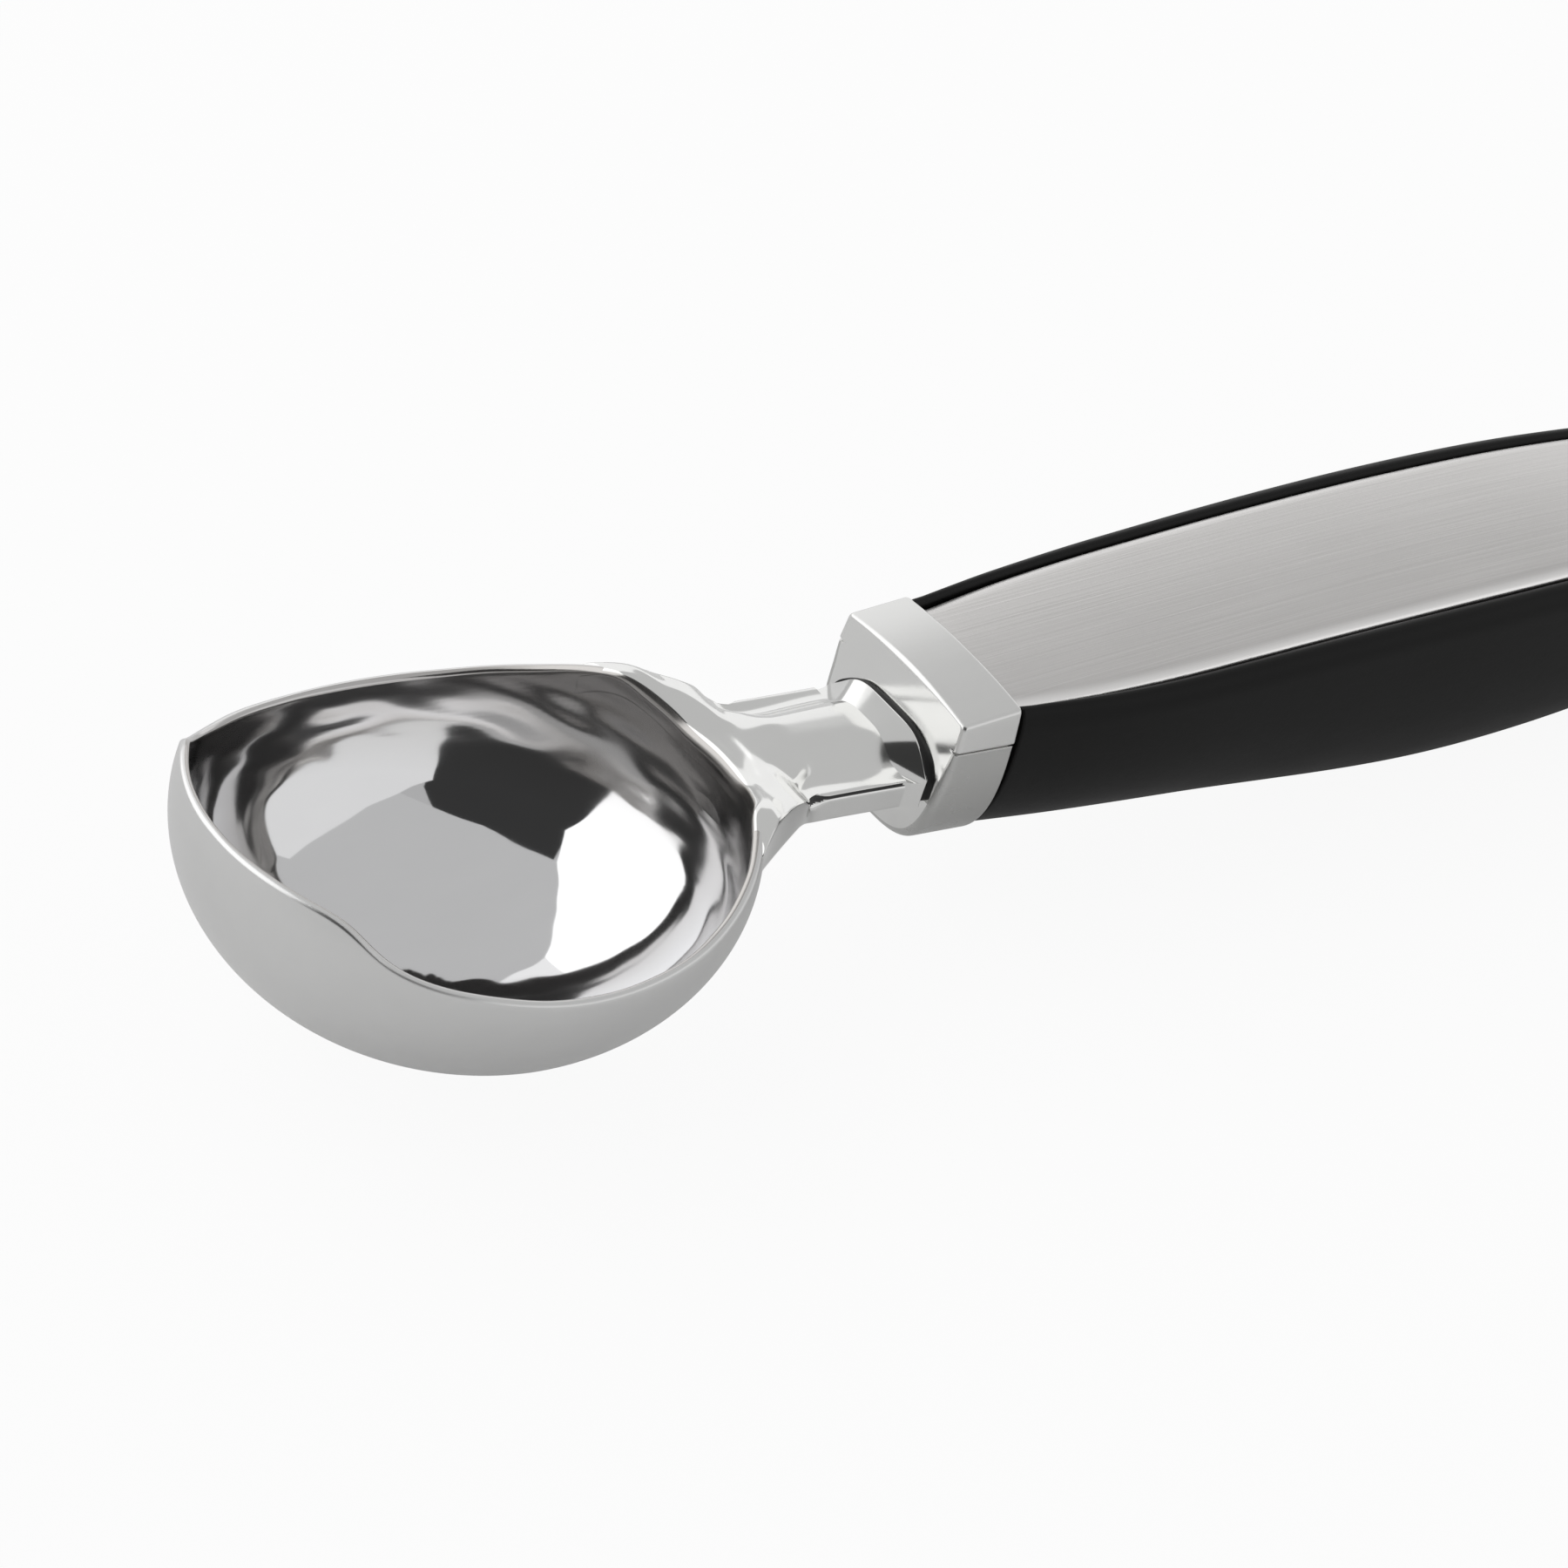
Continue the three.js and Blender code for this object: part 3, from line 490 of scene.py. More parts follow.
def round_section(u):
    """A share around a section as (across, up): across from -1 to 1, up from 0 below to 1 on top."""
    if u < TOP_SHARE:
        return -1 + 2 * u / TOP_SHARE, 1.0
    u -= TOP_SHARE
    if u < SIDE_SHARE:
        return 1.0, 1 - u / SIDE_SHARE
    u -= SIDE_SHARE
    if u < TOP_SHARE:
        return 1 - 2 * u / TOP_SHARE, 0.0
    return -1.0, (u - TOP_SHARE) / SIDE_SHARE


def dome_height(x, side):
    """The dome widens towards the collar, and the ledges at both its sides rise a little outwards."""
    half = lerp(DOME_SLIM, DOME_WIDE, ease(x, DOME_SLIM_AT, DOME_WIDE_AT))
    dome = (DOME_TOP - LEDGE_TOP) * exp(-(side / half) ** DOME_POWER)
    return LEDGE_TOP + dome + LEDGE_RISE * ease(side, LEDGE_IN, LEDGE_OUT)


def neck_top(x, y):
    """The height of the neck's upper side: the lip's slope, the web, and then the dome with its ledges."""
    side = abs(y)
    crest = max(CREST_TOP - CREST_FALL * (x - CREST_AT) ** 2, CREST_LEAST)
    web = lerp(middle_height(x), crest, ease(side, TROUGH_IN, TROUGH_OUT))
    from_wall = (hypot(x / HOLLOW.x, y / HOLLOW.y) - 1) * HOLLOW.x
    slope = ease(from_wall, LIP_SLOPE_START, LIP_SLOPE_END)
    sloped = lerp(lip_height(degrees(atan2(side, x))), web, slope)
    out = ease(side, FLANK_IN, FLANK_OUT)
    start, run = lerp(MIDDLE_START, FLANK_START, out), lerp(MIDDLE_RUN, FLANK_RUN, out)
    return lerp(sloped, dome_height(x, side), ease(x, start, start + run))


def tuck(across):
    """How far the skin's two sides dive into the lip."""
    return TUCK * ease(abs(across), TUCK_FROM, 1)


@lru_cache(None)
def root_at(across):
    """Where the neck leaves the wall: a place inside the wall, where its rolled edge starts, the roll's
    reach outwards and its top."""
    direction = ROOT_SPREAD * across
    height = lip_height(abs(direction)) - tuck(across)
    roll = lerp(ROOT_ROLL, LIP, ease(abs(across), ROLL_FADE, ROLL_FADED))
    inside = outer_wall_at(MIDWALL, direction, height - ROOT_BURIED)
    edge = inner_wall_at(direction, height - roll)
    out = Vector((edge.x / HOLLOW.x**2, edge.y / HOLLOW.y**2, 0)).normalized()
    return inside, edge, out * roll, height


def web_plan(across, t):
    """Plan of the web: straight lines from the lip to the bar, drawn out to the curved edge at the sides."""
    start, corner = [edge + roll for inside, edge, roll, height in (root_at(across), root_at(1.0))]
    end = Vector((WEB_END, neck_half(WEB_END) * across, 0))
    corner_end = Vector((WEB_END, neck_half(WEB_END), 0))
    x = lerp(WEB_START, WEB_END, max(share(t, WEB_CORNER, 1), 0))
    side = Vector((x, neck_half(x), 0))
    if t < WEB_CORNER:
        side = corner.lerp(side, t / WEB_CORNER)
    pull = (side - corner.lerp(corner_end, t)) * across * across
    return lerp(start.x, end.x, t) + pull.x, lerp(start.y, end.y, t) + pull.y * copysign(1, across)


def neck_upper(across, w):
    inside, edge, roll, height = root_at(across)
    direction = ROOT_SPREAD * across
    if w < BURIED_END:
        foot = inner_wall_at(direction, height - ROOT_DEPTH, PROUD_OF_WALL)
        return inside.lerp(foot, share(w, 0, BURIED_END))
    if w < CLIMB_END:
        below = lerp(ROOT_DEPTH, roll.length, share(w, BURIED_END, CLIMB_END))
        return inner_wall_at(direction, height - below, PROUD_OF_WALL)
    if w < ROLL_END:
        angle = pi / 2 * share(w, CLIMB_END, ROLL_END)
        return edge + roll * (1 - cos(angle)) + Vector((0, 0, roll.length * sin(angle)))
    if w < WEB_SHARE:
        t = share(w, ROLL_END, WEB_SHARE)
        x, y = web_plan(across, t)
        return Vector((x, y, neck_top(x, y) - tuck(across) * (1 - ease(t, 0, TUCK_FADE))))
    x = lerp(WEB_END, NECK_REAR, share(w, WEB_SHARE, 1))
    y = neck_half(x) * across
    return Vector((x, y, neck_top(x, y)))


@lru_cache(None)
def under_root(across):
    """Where the neck's underside leaves the bowl, just inside its wall."""
    height = lerp(UNDER_MIDDLE, UNDER_SIDE, across * across)
    return outer_wall_at(BOWL * UNDER_SIZE, (ROOT_SPREAD + UNDER_WIDER) * across, height)


def neck_lower(across, w):
    foot = under_root(across)
    keel = lerp(WEB_KEEL, WEB_LOW, across * across)
    if w < ROLL_END:
        return root_at(across)[0].lerp(foot, share(w, 0, ROLL_END))
    if w < WEB_SHARE:
        front = Vector((WEB_END, (neck_half(WEB_END) - UNDERCUT) * across, keel))
        return foot.lerp(front, share(w, ROLL_END, WEB_SHARE))
    x = lerp(WEB_END, NECK_REAR, share(w, WEB_SHARE, 1))
    z = lerp(keel, BAR_LOW, ease(x, WEB_END, WEB_END + BAR_BLEND))
    return Vector((x, (neck_half(x) - UNDERCUT) * across, z))


def neck_point(u, w):
    across, up = round_section(u)
    across = round(across, 6)
    return neck_lower(across, w).lerp(neck_upper(across, w), up)


neck_shape = skin(neck_point, around=250, along=170, inside=0.25)
close_ends(neck_shape)
for sweep in range(NECK_SWEEPS):
    bmesh.ops.smooth_vert(neck_shape, verts=neck_shape.verts, factor=0.5,
                          use_axis_x=True, use_axis_y=True, use_axis_z=True)

# Fine groove under each ledge, which starts as a wider pit where the web ends. Its inner faces are painted
# dark: painted shade
GROOVE_HEIGHT, GROOVE_START, GROOVE_OPEN = 2.15, 33.0, 33.8
PIT_END, GROOVE_EVEN = 34.0, 36.2
PIT_WIDTH, GROOVE_WIDTH, PIT_DEPTH, GROOVE_DEPTH = 0.6, 0.19, 0.9, 0.45
FROM_EDGE, AT_EDGE = 0.6, 0.2
PAINTED_SHADE_FROM = 0.45


def ledge_groove(place):
    """How fully a point lies in the groove, and how deep the groove is there."""
    run = ease(place.x, PIT_END, GROOVE_EVEN)
    on_side = ease(neck_half(place.x) - abs(place.y), FROM_EDGE, AT_EDGE)
    opened = ease(place.x, GROOVE_START, GROOVE_OPEN)
    off_line = (place.z - GROOVE_HEIGHT) / lerp(PIT_WIDTH, GROOVE_WIDTH, run)
    fullness = exp(-off_line**2) * on_side * opened
    return fullness, lerp(PIT_DEPTH, GROOVE_DEPTH, run) * fullness


# Faces deep in the groove take the dark finish: painted shade in the crease
for face in neck_shape.faces:
    fullness, depth = ledge_groove(face.calc_center_median())
    if fullness > PAINTED_SHADE_FROM:
        face.material_index = 2
for vert in neck_shape.verts:
    fullness, depth = ledge_groove(vert.co)
    vert.co.y -= copysign(depth, vert.co.y)
finish_piece("neck", neck_shape, [mirror_metal, polished_neck, groove_painted_shade], crease=60)

# Collar front, shared by the band, the seal ring and the collar
COLLAR_FRONT, COLLAR_REAR = 48.9, 55.8
COLLAR_TOP = 9.6
COLLAR_LEAN, COLLAR_BELLY, BELLY_TOP = 0.1, 0.022, 1.5
FACE_END, FRONT_EDGE_END, SIDES_END, REAR_EDGE_END = 0.3, 0.45, 0.65, 0.8


def collar_face(y, z):
    """Where the collar's flat front stands: it leans forward going down, and its foot curves back."""
    below = min(z - BELLY_TOP, 0)
    return COLLAR_FRONT - COLLAR_LEAN * (COLLAR_TOP - z) + COLLAR_BELLY * below**2


def capped(outline, centre, front, rear, front_soft, rear_soft, around, along):
    """A closed body along x: a front face, a soft edge, the sides, a soft edge and a rear face.
    All but the front face takes the second material."""
    middle = Vector(centre)

    def inset(u, width):
        edge = outline(u)
        reach = edge - middle
        return middle + reach * (1 - width / reach.length)

    def point(u, w):
        u = round(u, 6)
        edge = outline(u)
        soft = front_soft(edge.x, edge.y)
        if w < FACE_END:
            p = middle.lerp(inset(u, soft), share(w, 0, FACE_END))
            return Vector((front(p.x, p.y), p.x, p.y))
        if w < FRONT_EDGE_END:
            angle = pi / 2 * share(w, FACE_END, FRONT_EDGE_END)
            p = inset(u, soft * (1 - sin(angle)))
            return Vector((front(p.x, p.y) + soft * (1 - cos(angle)), p.x, p.y))
        if w < SIDES_END:
            start, end = front(edge.x, edge.y) + soft, rear - rear_soft
            return Vector((lerp(start, end, share(w, FRONT_EDGE_END, SIDES_END)), edge.x, edge.y))
        if w < REAR_EDGE_END:
            angle = pi / 2 * share(w, SIDES_END, REAR_EDGE_END)
            p = inset(u, rear_soft * (1 - cos(angle)))
            return Vector((rear - rear_soft * (1 - sin(angle)), p.x, p.y))
        p = inset(u, rear_soft).lerp(middle, share(w, REAR_EDGE_END, 1))
        return Vector((rear, p.x, p.y))

    return skin(point, around, along, inside=FACE_END)


# Band and seal ring where the neck meets the collar
RING_HALF, RING_BASE, RING_RISE, RING_FOOT, RING_ROUND = 8.7, 0.8, 4.8, -0.6, 2.5
RING_WIDTH, RING_INSET, RING_BURIED = 0.55, 0.1, 0.6
RING_CORNER, RING_SOFT, RING_CENTRE = 0.6, 0.1, (0, 2.2)
BAND_FRONT, BAND_EDGE, BAND_SUNK, BAND_DROP, BAND_LEDGE = 45.1, 0.12, 0.3, 0.1, 1
BAND_WIDE, BAND_POWER, FLARE_END = 7.7, 5, 0.8


def band_point(u, w):
    """The band flares from the dome between the ledges to the seal ring's outline."""
    across, up = round_section(u)
    flare = min(w / FLARE_END, 1)
    angle = pi / 2 * min(share(w, 1, FLARE_END), 1)
    inset = BAND_EDGE * (1 - sin(angle))
    half = lerp(neck_half(BAND_FRONT) - BAND_SUNK, RING_HALF, flare) - inset
    foot = lerp(BAR_LOW + BAND_SUNK, RING_FOOT, flare) + inset
    y = half * sin(across * pi / 2)
    dome = exp(-(abs(y) / lerp(DOME_WIDE, BAND_WIDE, flare)) ** lerp(DOME_POWER, BAND_POWER, flare))
    ledge = lerp(LEDGE_TOP, RING_BASE + BAND_LEDGE, flare)
    high = lerp(DOME_TOP - BAND_DROP, RING_BASE + RING_RISE, flare) - inset
    z = lerp(foot, lerp(ledge, high, dome), up)
    end = collar_face(y, z) - RING_WIDTH
    return Vector((lerp(BAND_FRONT, end - BAND_EDGE, flare) + BAND_EDGE * cos(angle), y, z))


band_shape = skin(band_point, around=250, along=50)
close_ends(band_shape)
finish_piece("neck_band", band_shape, [polished_neck], crease=50)


def ring_outline():
    half, foot = RING_HALF - RING_INSET, RING_FOOT + RING_INSET
    dome = arc(64, 0, pi, oval(half, RING_RISE - RING_INSET, RING_ROUND, RING_BASE))
    near = [(half - RING_CORNER, foot), (half, foot + RING_CORNER)]
    return dome + other_side(near) + near


ring_shape = capped(even(ring_outline()), RING_CENTRE,
                    front=lambda y, z: collar_face(y, z) - RING_WIDTH - RING_INSET,
                    rear=COLLAR_FRONT + RING_BURIED,
                    front_soft=lambda y, z: RING_SOFT, rear_soft=RING_SOFT, around=160, along=40)
finish_piece("neck_seal_ring", ring_shape, [seal_rubber, seal_rubber], ["neck_seal"])

# Collar: a casting with a polished flat front, whose upper part stands a little proud of the lower
COLLAR_HALF, COLLAR_BOTTOM, COLLAR_ROUND, COLLAR_CROWN = 10.5, -7.6, 2.65, 0.65
UPPER_HALF, UPPER_ROUND, UPPER_LEAN = 10.62, 0.6, radians(5)
SEAM, SEAM_DEPTH, SEAM_WIDTH, SEAM_FLARE = 6.4, 0.5, 0.26, 0.05
EDGE_TIGHT, EDGE_ROUND, EDGE_DROP, REAR_EDGE = 0.5, 0.8, 3, 0.4
TOP_SLOPE, TOP_SLOPE_RISE = 0.14, 2


def collar_softness(y, z):
    """The front edge is tight along the top and rounder down both sides."""
    return lerp(EDGE_TIGHT, EDGE_ROUND, ease(z, SEAM, SEAM - EDGE_DROP))


def collar_outline():
    upper_foot = SEAM + SEAM_WIDTH + SEAM_FLARE
    strip = COLLAR_TOP - UPPER_ROUND * (1 - sin(UPPER_LEAN)) - upper_foot
    flat = UPPER_HALF - strip * tan(UPPER_LEAN) - UPPER_ROUND * cos(UPPER_LEAN)
    seam = [(COLLAR_HALF, SEAM), (COLLAR_HALF - SEAM_DEPTH, SEAM + SEAM_FLARE),
            (COLLAR_HALF - SEAM_DEPTH, SEAM + SEAM_WIDTH), (UPPER_HALF, upper_foot)]
    corner = quarter(flat, flat + UPPER_ROUND, COLLAR_TOP - UPPER_ROUND, COLLAR_TOP)
    near = seam + arc(12, UPPER_LEAN, pi / 2, corner)
    crown = arc(30, flat, -flat, crowned(flat, COLLAR_TOP, COLLAR_CROWN))
    lower = arc(60, -pi, 0, oval(COLLAR_HALF, COLLAR_BOTTOM - SEAM, COLLAR_ROUND, SEAM))
    return near + crown[1:-1] + other_side(near) + lower[1:-1]


collar_shape = capped(even(collar_outline()), (0, SEAM + SEAM_WIDTH / 2), collar_face, COLLAR_REAR,
                      collar_softness, REAR_EDGE, around=560, along=84)
for vert in collar_shape.verts:
    raised = ease(vert.co.z, SEAM, SEAM + TOP_SLOPE_RISE)
    vert.co.z += TOP_SLOPE * (vert.co.x - COLLAR_FRONT) * raised
# Faces below the seam take the darker satin copy: painted shade
for face in collar_shape.faces:
    if face.material_index and face.calc_center_median().z < SEAM:
        face.material_index = 2
finish_piece("collar_casting", collar_shape, [polished_neck, satin_collar, satin_painted_shade],
             ["collar_body", "collar_cap"], crease=50)

# Handle lines: the top is read at a place, the others at a share of the handle's length
HANDLE_FRONT, HANDLE_REAR = 56.1, 165.0
handle_top = curve((57, 10.0), (75, 12.0), (95, 14.2), (115, 15.95), (135, 17.05), (165, 17.1))
plate_half = curve((0, 8.7), (0.1, 10.05), (0.22, 10.76), (0.6, 11.15), (1, 9.7))
grip_side = curve((0, 2.0), (0.22, 2.6), (0.6, 2.9), (1, 2.2))
grip_bottom = curve((0, -7.6), (0.21, -7.7), (0.49, -8.9), (0.66, -7.4), (0.86, -3.2), (1, -0.6))
lip_rise = curve((0, 0.4), (0.17, -0.1), (1, -0.1))
CROWN, SHOULDER_DROP, GRIP_ROUND = 0.45, 2.5, 2.4
END_SOFT, END_DRAW, END_HALF, END_TOP, END_LIFT = 0.25, 0.25, 10, 3, 0.6
END_STATIONS, END_REACH = 0.05, 0.0023


def along_handle(section, around, along):
    """Skins a section that changes along the handle. Its two ends are drawn in a little."""

    def spread(w):
        """Crowds the stations at both ends."""
        if w < END_STATIONS:
            return END_REACH * share(w, 0, END_STATIONS)
        if w > 1 - END_STATIONS:
            return 1 - END_REACH * share(w, 1, 1 - END_STATIONS)
        return lerp(END_REACH, 1 - END_REACH, share(w, END_STATIONS, 1 - END_STATIONS))

    @lru_cache(None)
    def ring(w):
        x = lerp(HANDLE_FRONT, HANDLE_REAR, w)
        points = section(x)
        near_end = max(1 - (x - HANDLE_FRONT) / END_SOFT, 1 - (HANDLE_REAR - x) / END_SOFT, 0)
        draw = END_DRAW * (1 - sqrt(1 - near_end * near_end))
        upper = max(z for y, z in points) - END_TOP
        drawn = [(y * (1 - draw / END_HALF), z - draw * (1 if z > upper else -END_LIFT)) for y, z in points]
        return x, even(drawn)

    def point(u, w):
        x, outline = ring(round(spread(w), 7))
        p = outline(round(u, 6))
        return Vector((x, p.x, p.y))

    bm = skin(point, around, along)
    close_ends(bm)
    return bm


# Handle plate: a crowned strip with rolled edges, along which a brighter colour is painted as a highlight
ROLL_WIDTH, ROLL_DROP, PLATE_THICK, PLATE_UNDERCUT, HIGHLIGHT_BAND = 1.8, 0.75, 1.3, 0.1, 1.5


def plate_section(x):
    half, top = plate_half(share(x, HANDLE_FRONT, HANDLE_REAR)), handle_top(x)
    flat, under_half = half - ROLL_WIDTH, half - PLATE_UNDERCUT
    over = crowned(half, top, CROWN)

    def roll(angle):
        y, z = over(flat + ROLL_WIDTH * cos(angle))
        return y, z - ROLL_DROP * (1 - sin(angle))

    near = arc(12, 0, pi / 2, roll)
    crown = arc(40, flat, -flat, over)
    under = arc(20, -under_half, under_half, crowned(half, top - PLATE_THICK, CROWN))
    return near + crown[1:-1] + other_side(near) + under


plate_shape = along_handle(plate_section, around=160, along=100)
# How far into the band of painted highlight each point lies
highlight_layer = plate_shape.verts.layers.float.new("edge")
for vert in plate_shape.verts:
    half = plate_half(share(vert.co.x, HANDLE_FRONT, HANDLE_REAR))
    vert[highlight_layer] = ease(abs(vert.co.y), half - HIGHLIGHT_BAND, half)
finish_piece("handle_plate", plate_shape, [brushed_plate], ["top_plate"], crease=50)

# Handle grip: a soft shell round the sides and underside, with a rounded lip beside the plate
PLATE_GAP, GRIP_WALL, LIP_SHARE = 0.4, 2.4, 0.25
LIP_ROUNDING = ((0, 0.5), (0.08, 0.25), (0.3, 0.05))


def grip_section(x):
    along = share(x, HANDLE_FRONT, HANDLE_REAR)
    top, bottom = handle_top(x), grip_bottom(along)
    inner = plate_half(along) + PLATE_GAP
    outer = plate_half(along) + grip_side(along)
    widest = top - SHOULDER_DROP
    lip, lip_top = lerp(inner, outer, LIP_SHARE), top + lip_rise(along)
    edge = [(inner + out, lip_top - down) for out, down in LIP_ROUNDING]
    side = edge + arc(12, pi / 2, 0, quarter(lip, outer, widest, lip_top))
    under = arc(56, 0, -pi, oval(outer, bottom - widest, GRIP_ROUND, widest))
    within = arc(40, -pi, 0, oval(inner, bottom + GRIP_WALL - widest, GRIP_ROUND, widest))
    return side + under[1:-1] + other_side(side) + within


finish_piece("handle_grip", along_handle(grip_section, around=240, along=100), [soft_rubber],
             ["soft_grip"], crease=60)

# End cap: the handle's section drawn in to a blunt end, with a hole to hang it by and a pit for its screw
CAP_FRONT, CAP_LENGTH, CAP_SOFT = 165.3, 21.0, 0.3
CAP_FACE_END, CAP_EDGE_END, CAP_FACE_SIZE = 0.2, 0.26, 0.97
CAP_REACH, CAP_POWER, CAP_CLOSED = 0.985, 2.4, 0.999
HANG_PLACE, HANG_RADIUS = 12.5, 4.5
SCREW_PLACE, SCREW_RADIUS, SCREW_TOP = 2.75, 3.0, 2.9
BELOW, ABOVE = -30, 40


def cap_section():
    top, bottom = handle_top(HANDLE_REAR), grip_bottom(1)
    half = plate_half(1)
    outer = half + grip_side(1)
    widest = top - SHOULDER_DROP
    near = arc(10, 0, pi / 2, quarter(half, outer, widest, top))
    crown = arc(24, half, -half, crowned(half, top, CROWN))
    under = arc(56, -pi, 0, oval(outer, bottom - widest, GRIP_ROUND, widest))
    return near + crown[1:-1] + other_side(near) + under[1:-1]


def end_cap_shape():
    outline = even(cap_section())
    middle = Vector((0, (handle_top(HANDLE_REAR) + grip_bottom(1)) / 2))

    def point(u, w):
        edge = outline(round(u, 6))
        if w < CAP_FACE_END:
            p = middle.lerp(edge, CAP_FACE_SIZE * share(w, 0, CAP_FACE_END))
            return Vector((CAP_FRONT, p.x, p.y))
        if w < CAP_EDGE_END:
            angle = pi / 2 * share(w, CAP_FACE_END, CAP_EDGE_END)
            p = middle.lerp(edge, lerp(CAP_FACE_SIZE, 1, sin(angle)))
            return Vector((CAP_FRONT + CAP_SOFT * (1 - cos(angle)), p.x, p.y))
        reach = CAP_REACH * sin(pi / 2 * share(w, CAP_EDGE_END, 1))
        size = 0 if w > CAP_CLOSED else (1 - reach**CAP_POWER) ** (1 / CAP_POWER)
        p = middle.lerp(edge, size)
        return Vector((lerp(CAP_FRONT + CAP_SOFT, CAP_FRONT + CAP_LENGTH, reach), p.x, p.y))

    return skin(point, around=160, along=80)


def cut_round(piece, place, radius, low, high):
    """Bores a round hole into the piece, along z of the neck."""
    bm = bmesh.new()
    bmesh.ops.create_cone(bm, cap_ends=True, segments=64, radius1=radius, radius2=radius, depth=high - low)
    bmesh.ops.translate(bm, vec=(place, 0, (low + high) / 2), verts=bm.verts)
    bmesh.ops.transform(bm, matrix=REST, verts=bm.verts)
    bore = make_object("bore", bm)
    cutter = piece.modifiers.new("bore", "BOOLEAN")
    cutter.operation = "DIFFERENCE"
    cutter.solver = "EXACT"
    cutter.object = bore
    bpy.context.view_layer.update()
    evaluated = piece.evaluated_get(bpy.context.evaluated_depsgraph_get())
    bored = bpy.data.meshes.new_from_object(evaluated)
    piece.modifiers.clear()
    piece.data = bored
    bpy.data.objects.remove(bore)
    shaped = bmesh.new()
    shaped.from_mesh(bored)
    shade(shaped, crease=35)
    shaped.to_mesh(bored)
    shaped.free()


end_cap = finish_piece("handle_end", end_cap_shape(), [satin_collar], ["end_cap"], crease=50)
cut_round(end_cap, CAP_FRONT + HANG_PLACE, HANG_RADIUS, BELOW, ABOVE)
cut_round(end_cap, CAP_FRONT + SCREW_PLACE, SCREW_RADIUS, BELOW, SCREW_TOP)

# Finishes of the solids that stay in view or inside
for name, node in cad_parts.items():
    finish = zinc_plating
    if name.startswith(("core_upper", "core_lower")):
        finish = moulded_nylon
    elif name.startswith("plate_stud"):
        finish = brushed_plate
    node.data.materials.clear()
    node.data.materials.append(finish)

# Studio: a white floor, four bright panels and a dark opening on the camera's side.
# The panels' corners and facings are directions from the bowl, and their distances are in metres.
BOWL_EYE = REST @ Vector((0, 0, -5))
TOP_LEFT, TOP_BACK = (-0.331, 0.083, 0.94), (0.179, 0.655, 0.734)
TOP_FRONT, TOP_SIDE = (0.25, -0.699, 0.67), (0.874, -0.115, 0.472)
FAR_BACK, FAR_SIDE, BACK_RIGHT = (0.63, 0.66, 0.45), (0.93, 0.25, 0.27), (0.19, 0.97, 0.12)
FLOOR_HALF, FLOOR_DROP = 6, 0.0002
FLOOR_SEEN, SKY_SEEN, MIRRORED = 0.93, 1.0, 0.2


def glow(name, strength):
    material = bpy.data.materials.new(name)
    material.use_nodes = True
    tree = material.node_tree
    tree.nodes.clear()
    out = add(tree, "ShaderNodeOutputMaterial")
    emission = add(tree, "ShaderNodeEmission", Color=(1, 1, 1, 1), Strength=strength)
    tree.links.new(emission.outputs[0], out.inputs["Surface"])
    return material


def panel(name, corners, facing, distance, material):
    """A flat panel, seen only in reflections and by its light."""
    facing = Vector(facing).normalized()
    bm = bmesh.new()
    verts = []
    for corner in corners:
        way = Vector(corner).normalized()
        verts.append(bm.verts.new(BOWL_EYE + way * (distance / facing.dot(way))))
    bmesh.ops.contextual_create(bm, geom=verts)
    card = make_object(name, bm, [material])
    card.visible_camera = False
    card.visible_shadow = False


panel("panel_top", [TOP_LEFT, TOP_BACK, FAR_BACK, FAR_SIDE, (0.93, -0.11, 0.35), TOP_SIDE, TOP_FRONT,
                    (-0.109, -0.383, 0.917)], (0.25, 0, 0.968), 0.9, glow("top_light", 0.63))
panel("panel_back", [(-0.985, -0.08, 0.15), (-0.533, -0.096, 0.841), TOP_LEFT, TOP_BACK, BACK_RIGHT],
      (-0.527, 0.627, 0.574), 0.8, glow("back_light", 1.5))
panel("panel_side", [(0.025, -0.766, 0.642), TOP_FRONT, TOP_SIDE, (0.97, -0.1, 0.1), (-0.29, -0.948, 0.1),
                     (-0.128, -0.94, 0.315)], (0.539, -0.77, 0.342), 0.9, glow("side_light", 0.9))
panel("panel_far", [TOP_BACK, FAR_BACK, FAR_SIDE, (0.95, 0.3, 0.03), (0.6, 0.8, 0.03), BACK_RIGHT],
      (0.55, 0.78, 0.3), 1.0, glow("far_light", 1.1))
panel("dark_opening", [(-0.97, -0.1, 0.2), (-0.5, -0.05, 0.86), (-0.25, 0.1, 0.96), (0.1, -0.5, 0.86),
                       (0.1, -0.72, 0.68), (-0.2, -0.95, 0.2)], (-0.55, -0.55, 0.63), 1.3,
      glow("dark_room", 0.045))


def white_share(tree, seen, mirrored):
    """How much of the white background a ray meets: one share for the camera, one for mirrors and glass."""
    path = add(tree, "ShaderNodeLightPath")
    bounced = calc(tree, "ADD", path.outputs["Is Glossy Ray"], path.outputs["Is Transmission Ray"])
    return weighted(tree, path.outputs["Is Camera Ray"], seen, bounced, mirrored)


def show_white(tree, plain, white, seen, out):
    """Mixes a plain shader with the white background and puts out the result."""
    mix = add(tree, "ShaderNodeMixShader")
    sources = white_share(tree, seen, MIRRORED), plain.outputs[0], white.outputs[0]
    for source, socket in zip(sources, mix.inputs):
        tree.links.new(source, socket)
    tree.links.new(mix.outputs[0], out.inputs["Surface"])


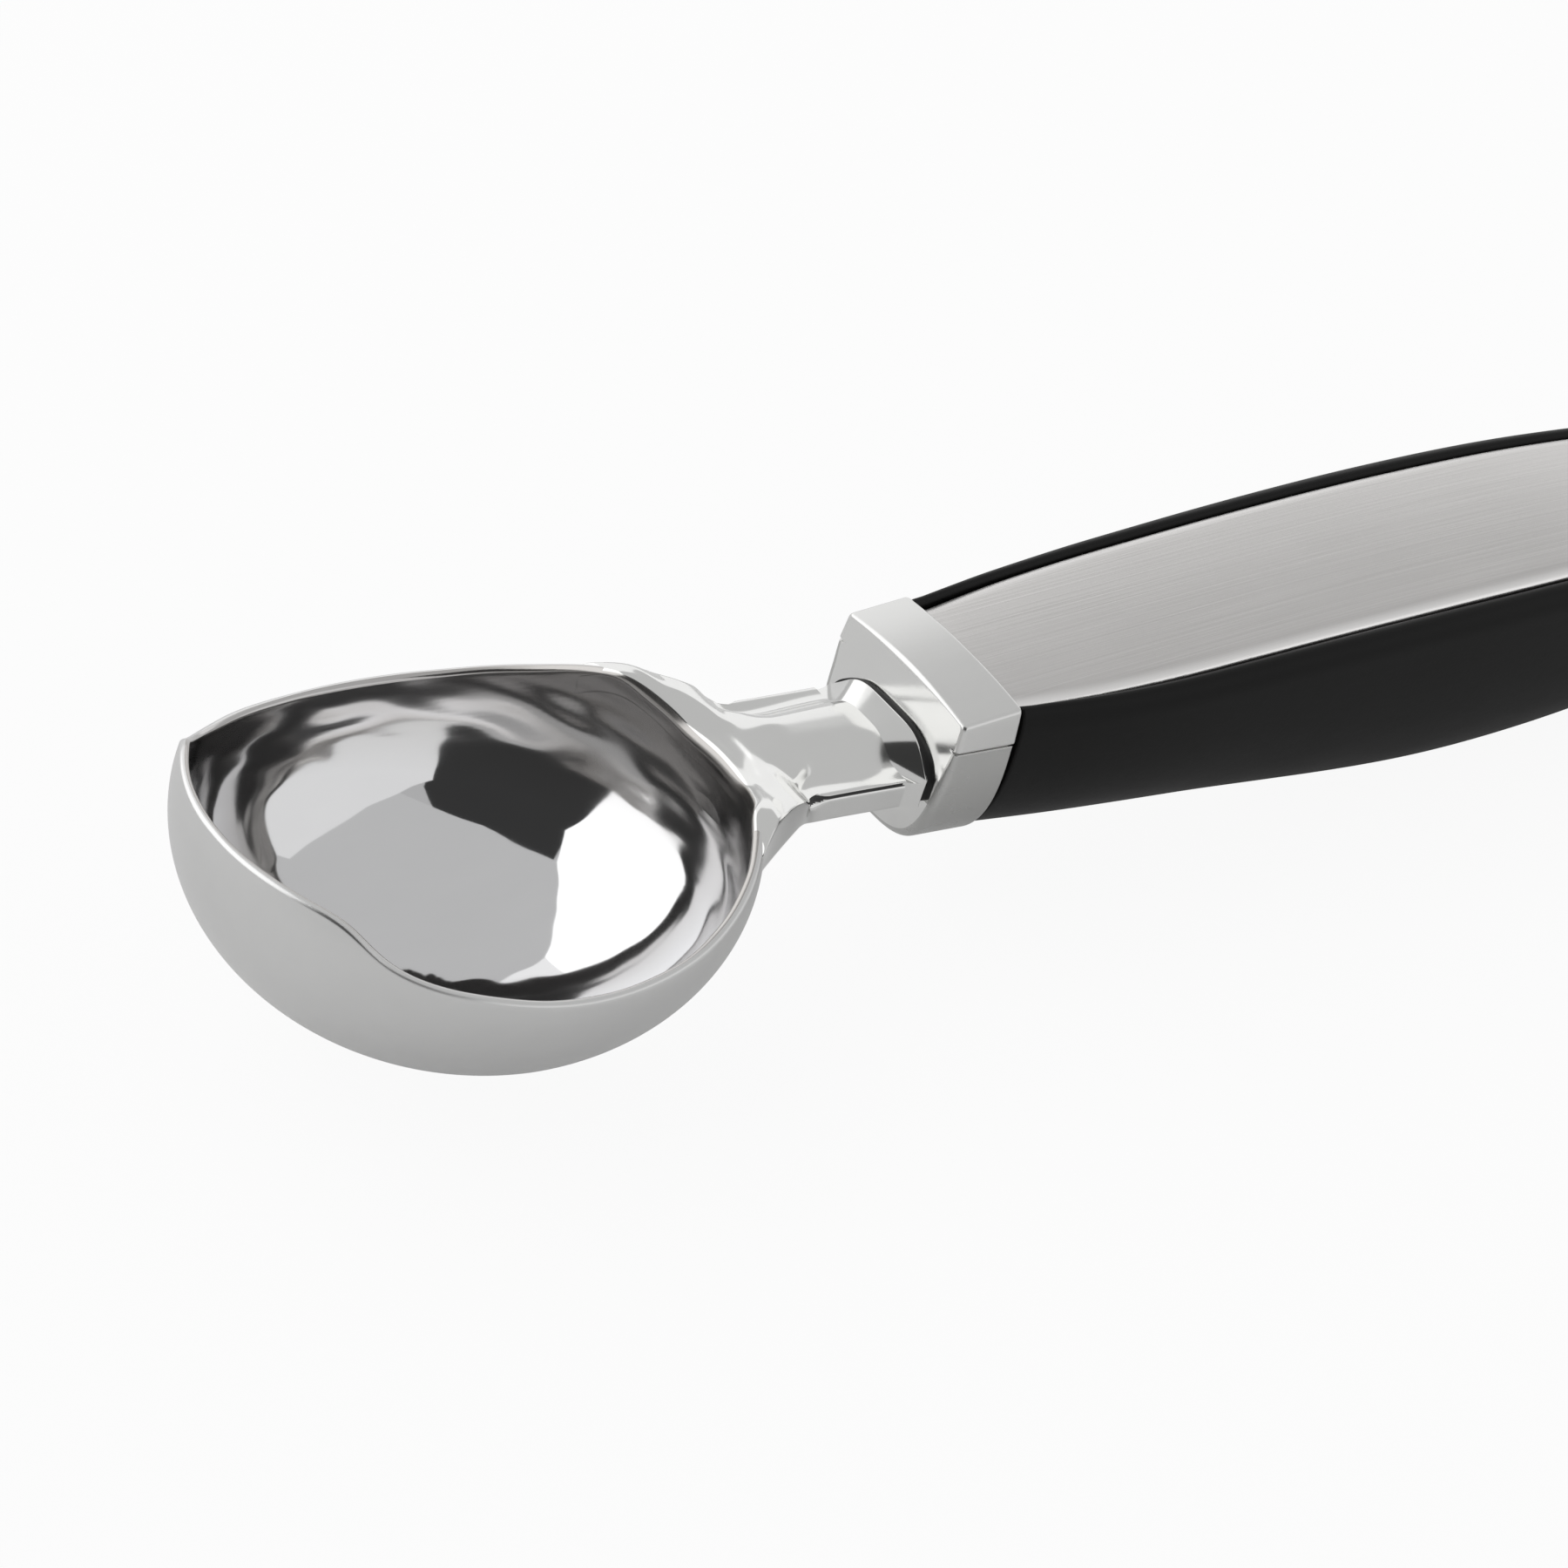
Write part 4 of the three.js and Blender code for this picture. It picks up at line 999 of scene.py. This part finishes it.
floor_paint = bpy.data.materials.new("white_floor")
floor_paint.use_nodes = True
floor_tree = floor_paint.node_tree
floor_tree.nodes.clear()
show_white(floor_tree, add(floor_tree, "ShaderNodeBsdfDiffuse", Color=(0.8, 0.8, 0.8, 1)),
           add(floor_tree, "ShaderNodeEmission", Color=(1, 1, 1, 1), Strength=1.0),
           FLOOR_SEEN, add(floor_tree, "ShaderNodeOutputMaterial"))
floor_shape = bmesh.new()
bmesh.ops.create_grid(floor_shape, x_segments=1, y_segments=1, size=FLOOR_HALF)
floor = make_object("floor", floor_shape, [floor_paint])
floor.location.z = -FLOOR_DROP

world = bpy.data.worlds.new("studio")
world.use_nodes = True
bpy.context.scene.world = world
sky = world.node_tree
sky.nodes.clear()
show_white(sky, add(sky, "ShaderNodeBackground", Color=(0.45, 0.45, 0.45, 1)),
           add(sky, "ShaderNodeBackground", Color=(1, 1, 1, 1)),
           SKY_SEEN, add(sky, "ShaderNodeOutputWorld"))

# Camera: stands in front of the bowl's left side and looks down along the handle.
# The bowl's middle falls on a column and a row of a square picture.
TURN, RISE, ROLL = radians(-41.814), radians(32.1745), radians(15.327)
AWAY, PIXELS_PER_MM = 718.3278, 12.1252
PICTURE, AIM_COLUMN, AIM_ROW = 1800, 536.9989, 945.695
SENSOR, NEAREST = 36, 0.01
back = Vector((sin(TURN) * cos(RISE), -cos(TURN) * cos(RISE), sin(RISE)))
level_right = Vector((cos(TURN), sin(TURN), 0))
level_up = back.cross(level_right)
right = level_right * cos(ROLL) + level_up * sin(ROLL)
up = level_up * cos(ROLL) - level_right * sin(ROLL)
aim_x = (AIM_COLUMN - PICTURE / 2) / PIXELS_PER_MM
aim_y = (PICTURE / 2 - AIM_ROW) / PIXELS_PER_MM
spot = REST @ (back * AWAY - right * aim_x - up * aim_y)
turn_only = REST_TURN.to_3x3()
camera_turn = Matrix((turn_only @ right, turn_only @ up, turn_only @ back)).transposed().to_4x4()
camera_data = bpy.data.cameras.new("camera")
camera_data.sensor_width = SENSOR
camera_data.lens = SENSOR * AWAY * PIXELS_PER_MM / PICTURE
camera_data.clip_start = NEAREST
camera = bpy.data.objects.new("camera", camera_data)
bpy.context.scene.collection.objects.link(camera)
camera.matrix_world = Matrix.Translation(spot) @ camera_turn
bpy.context.scene.camera = camera
bpy.context.scene.view_settings.view_transform = "Standard"
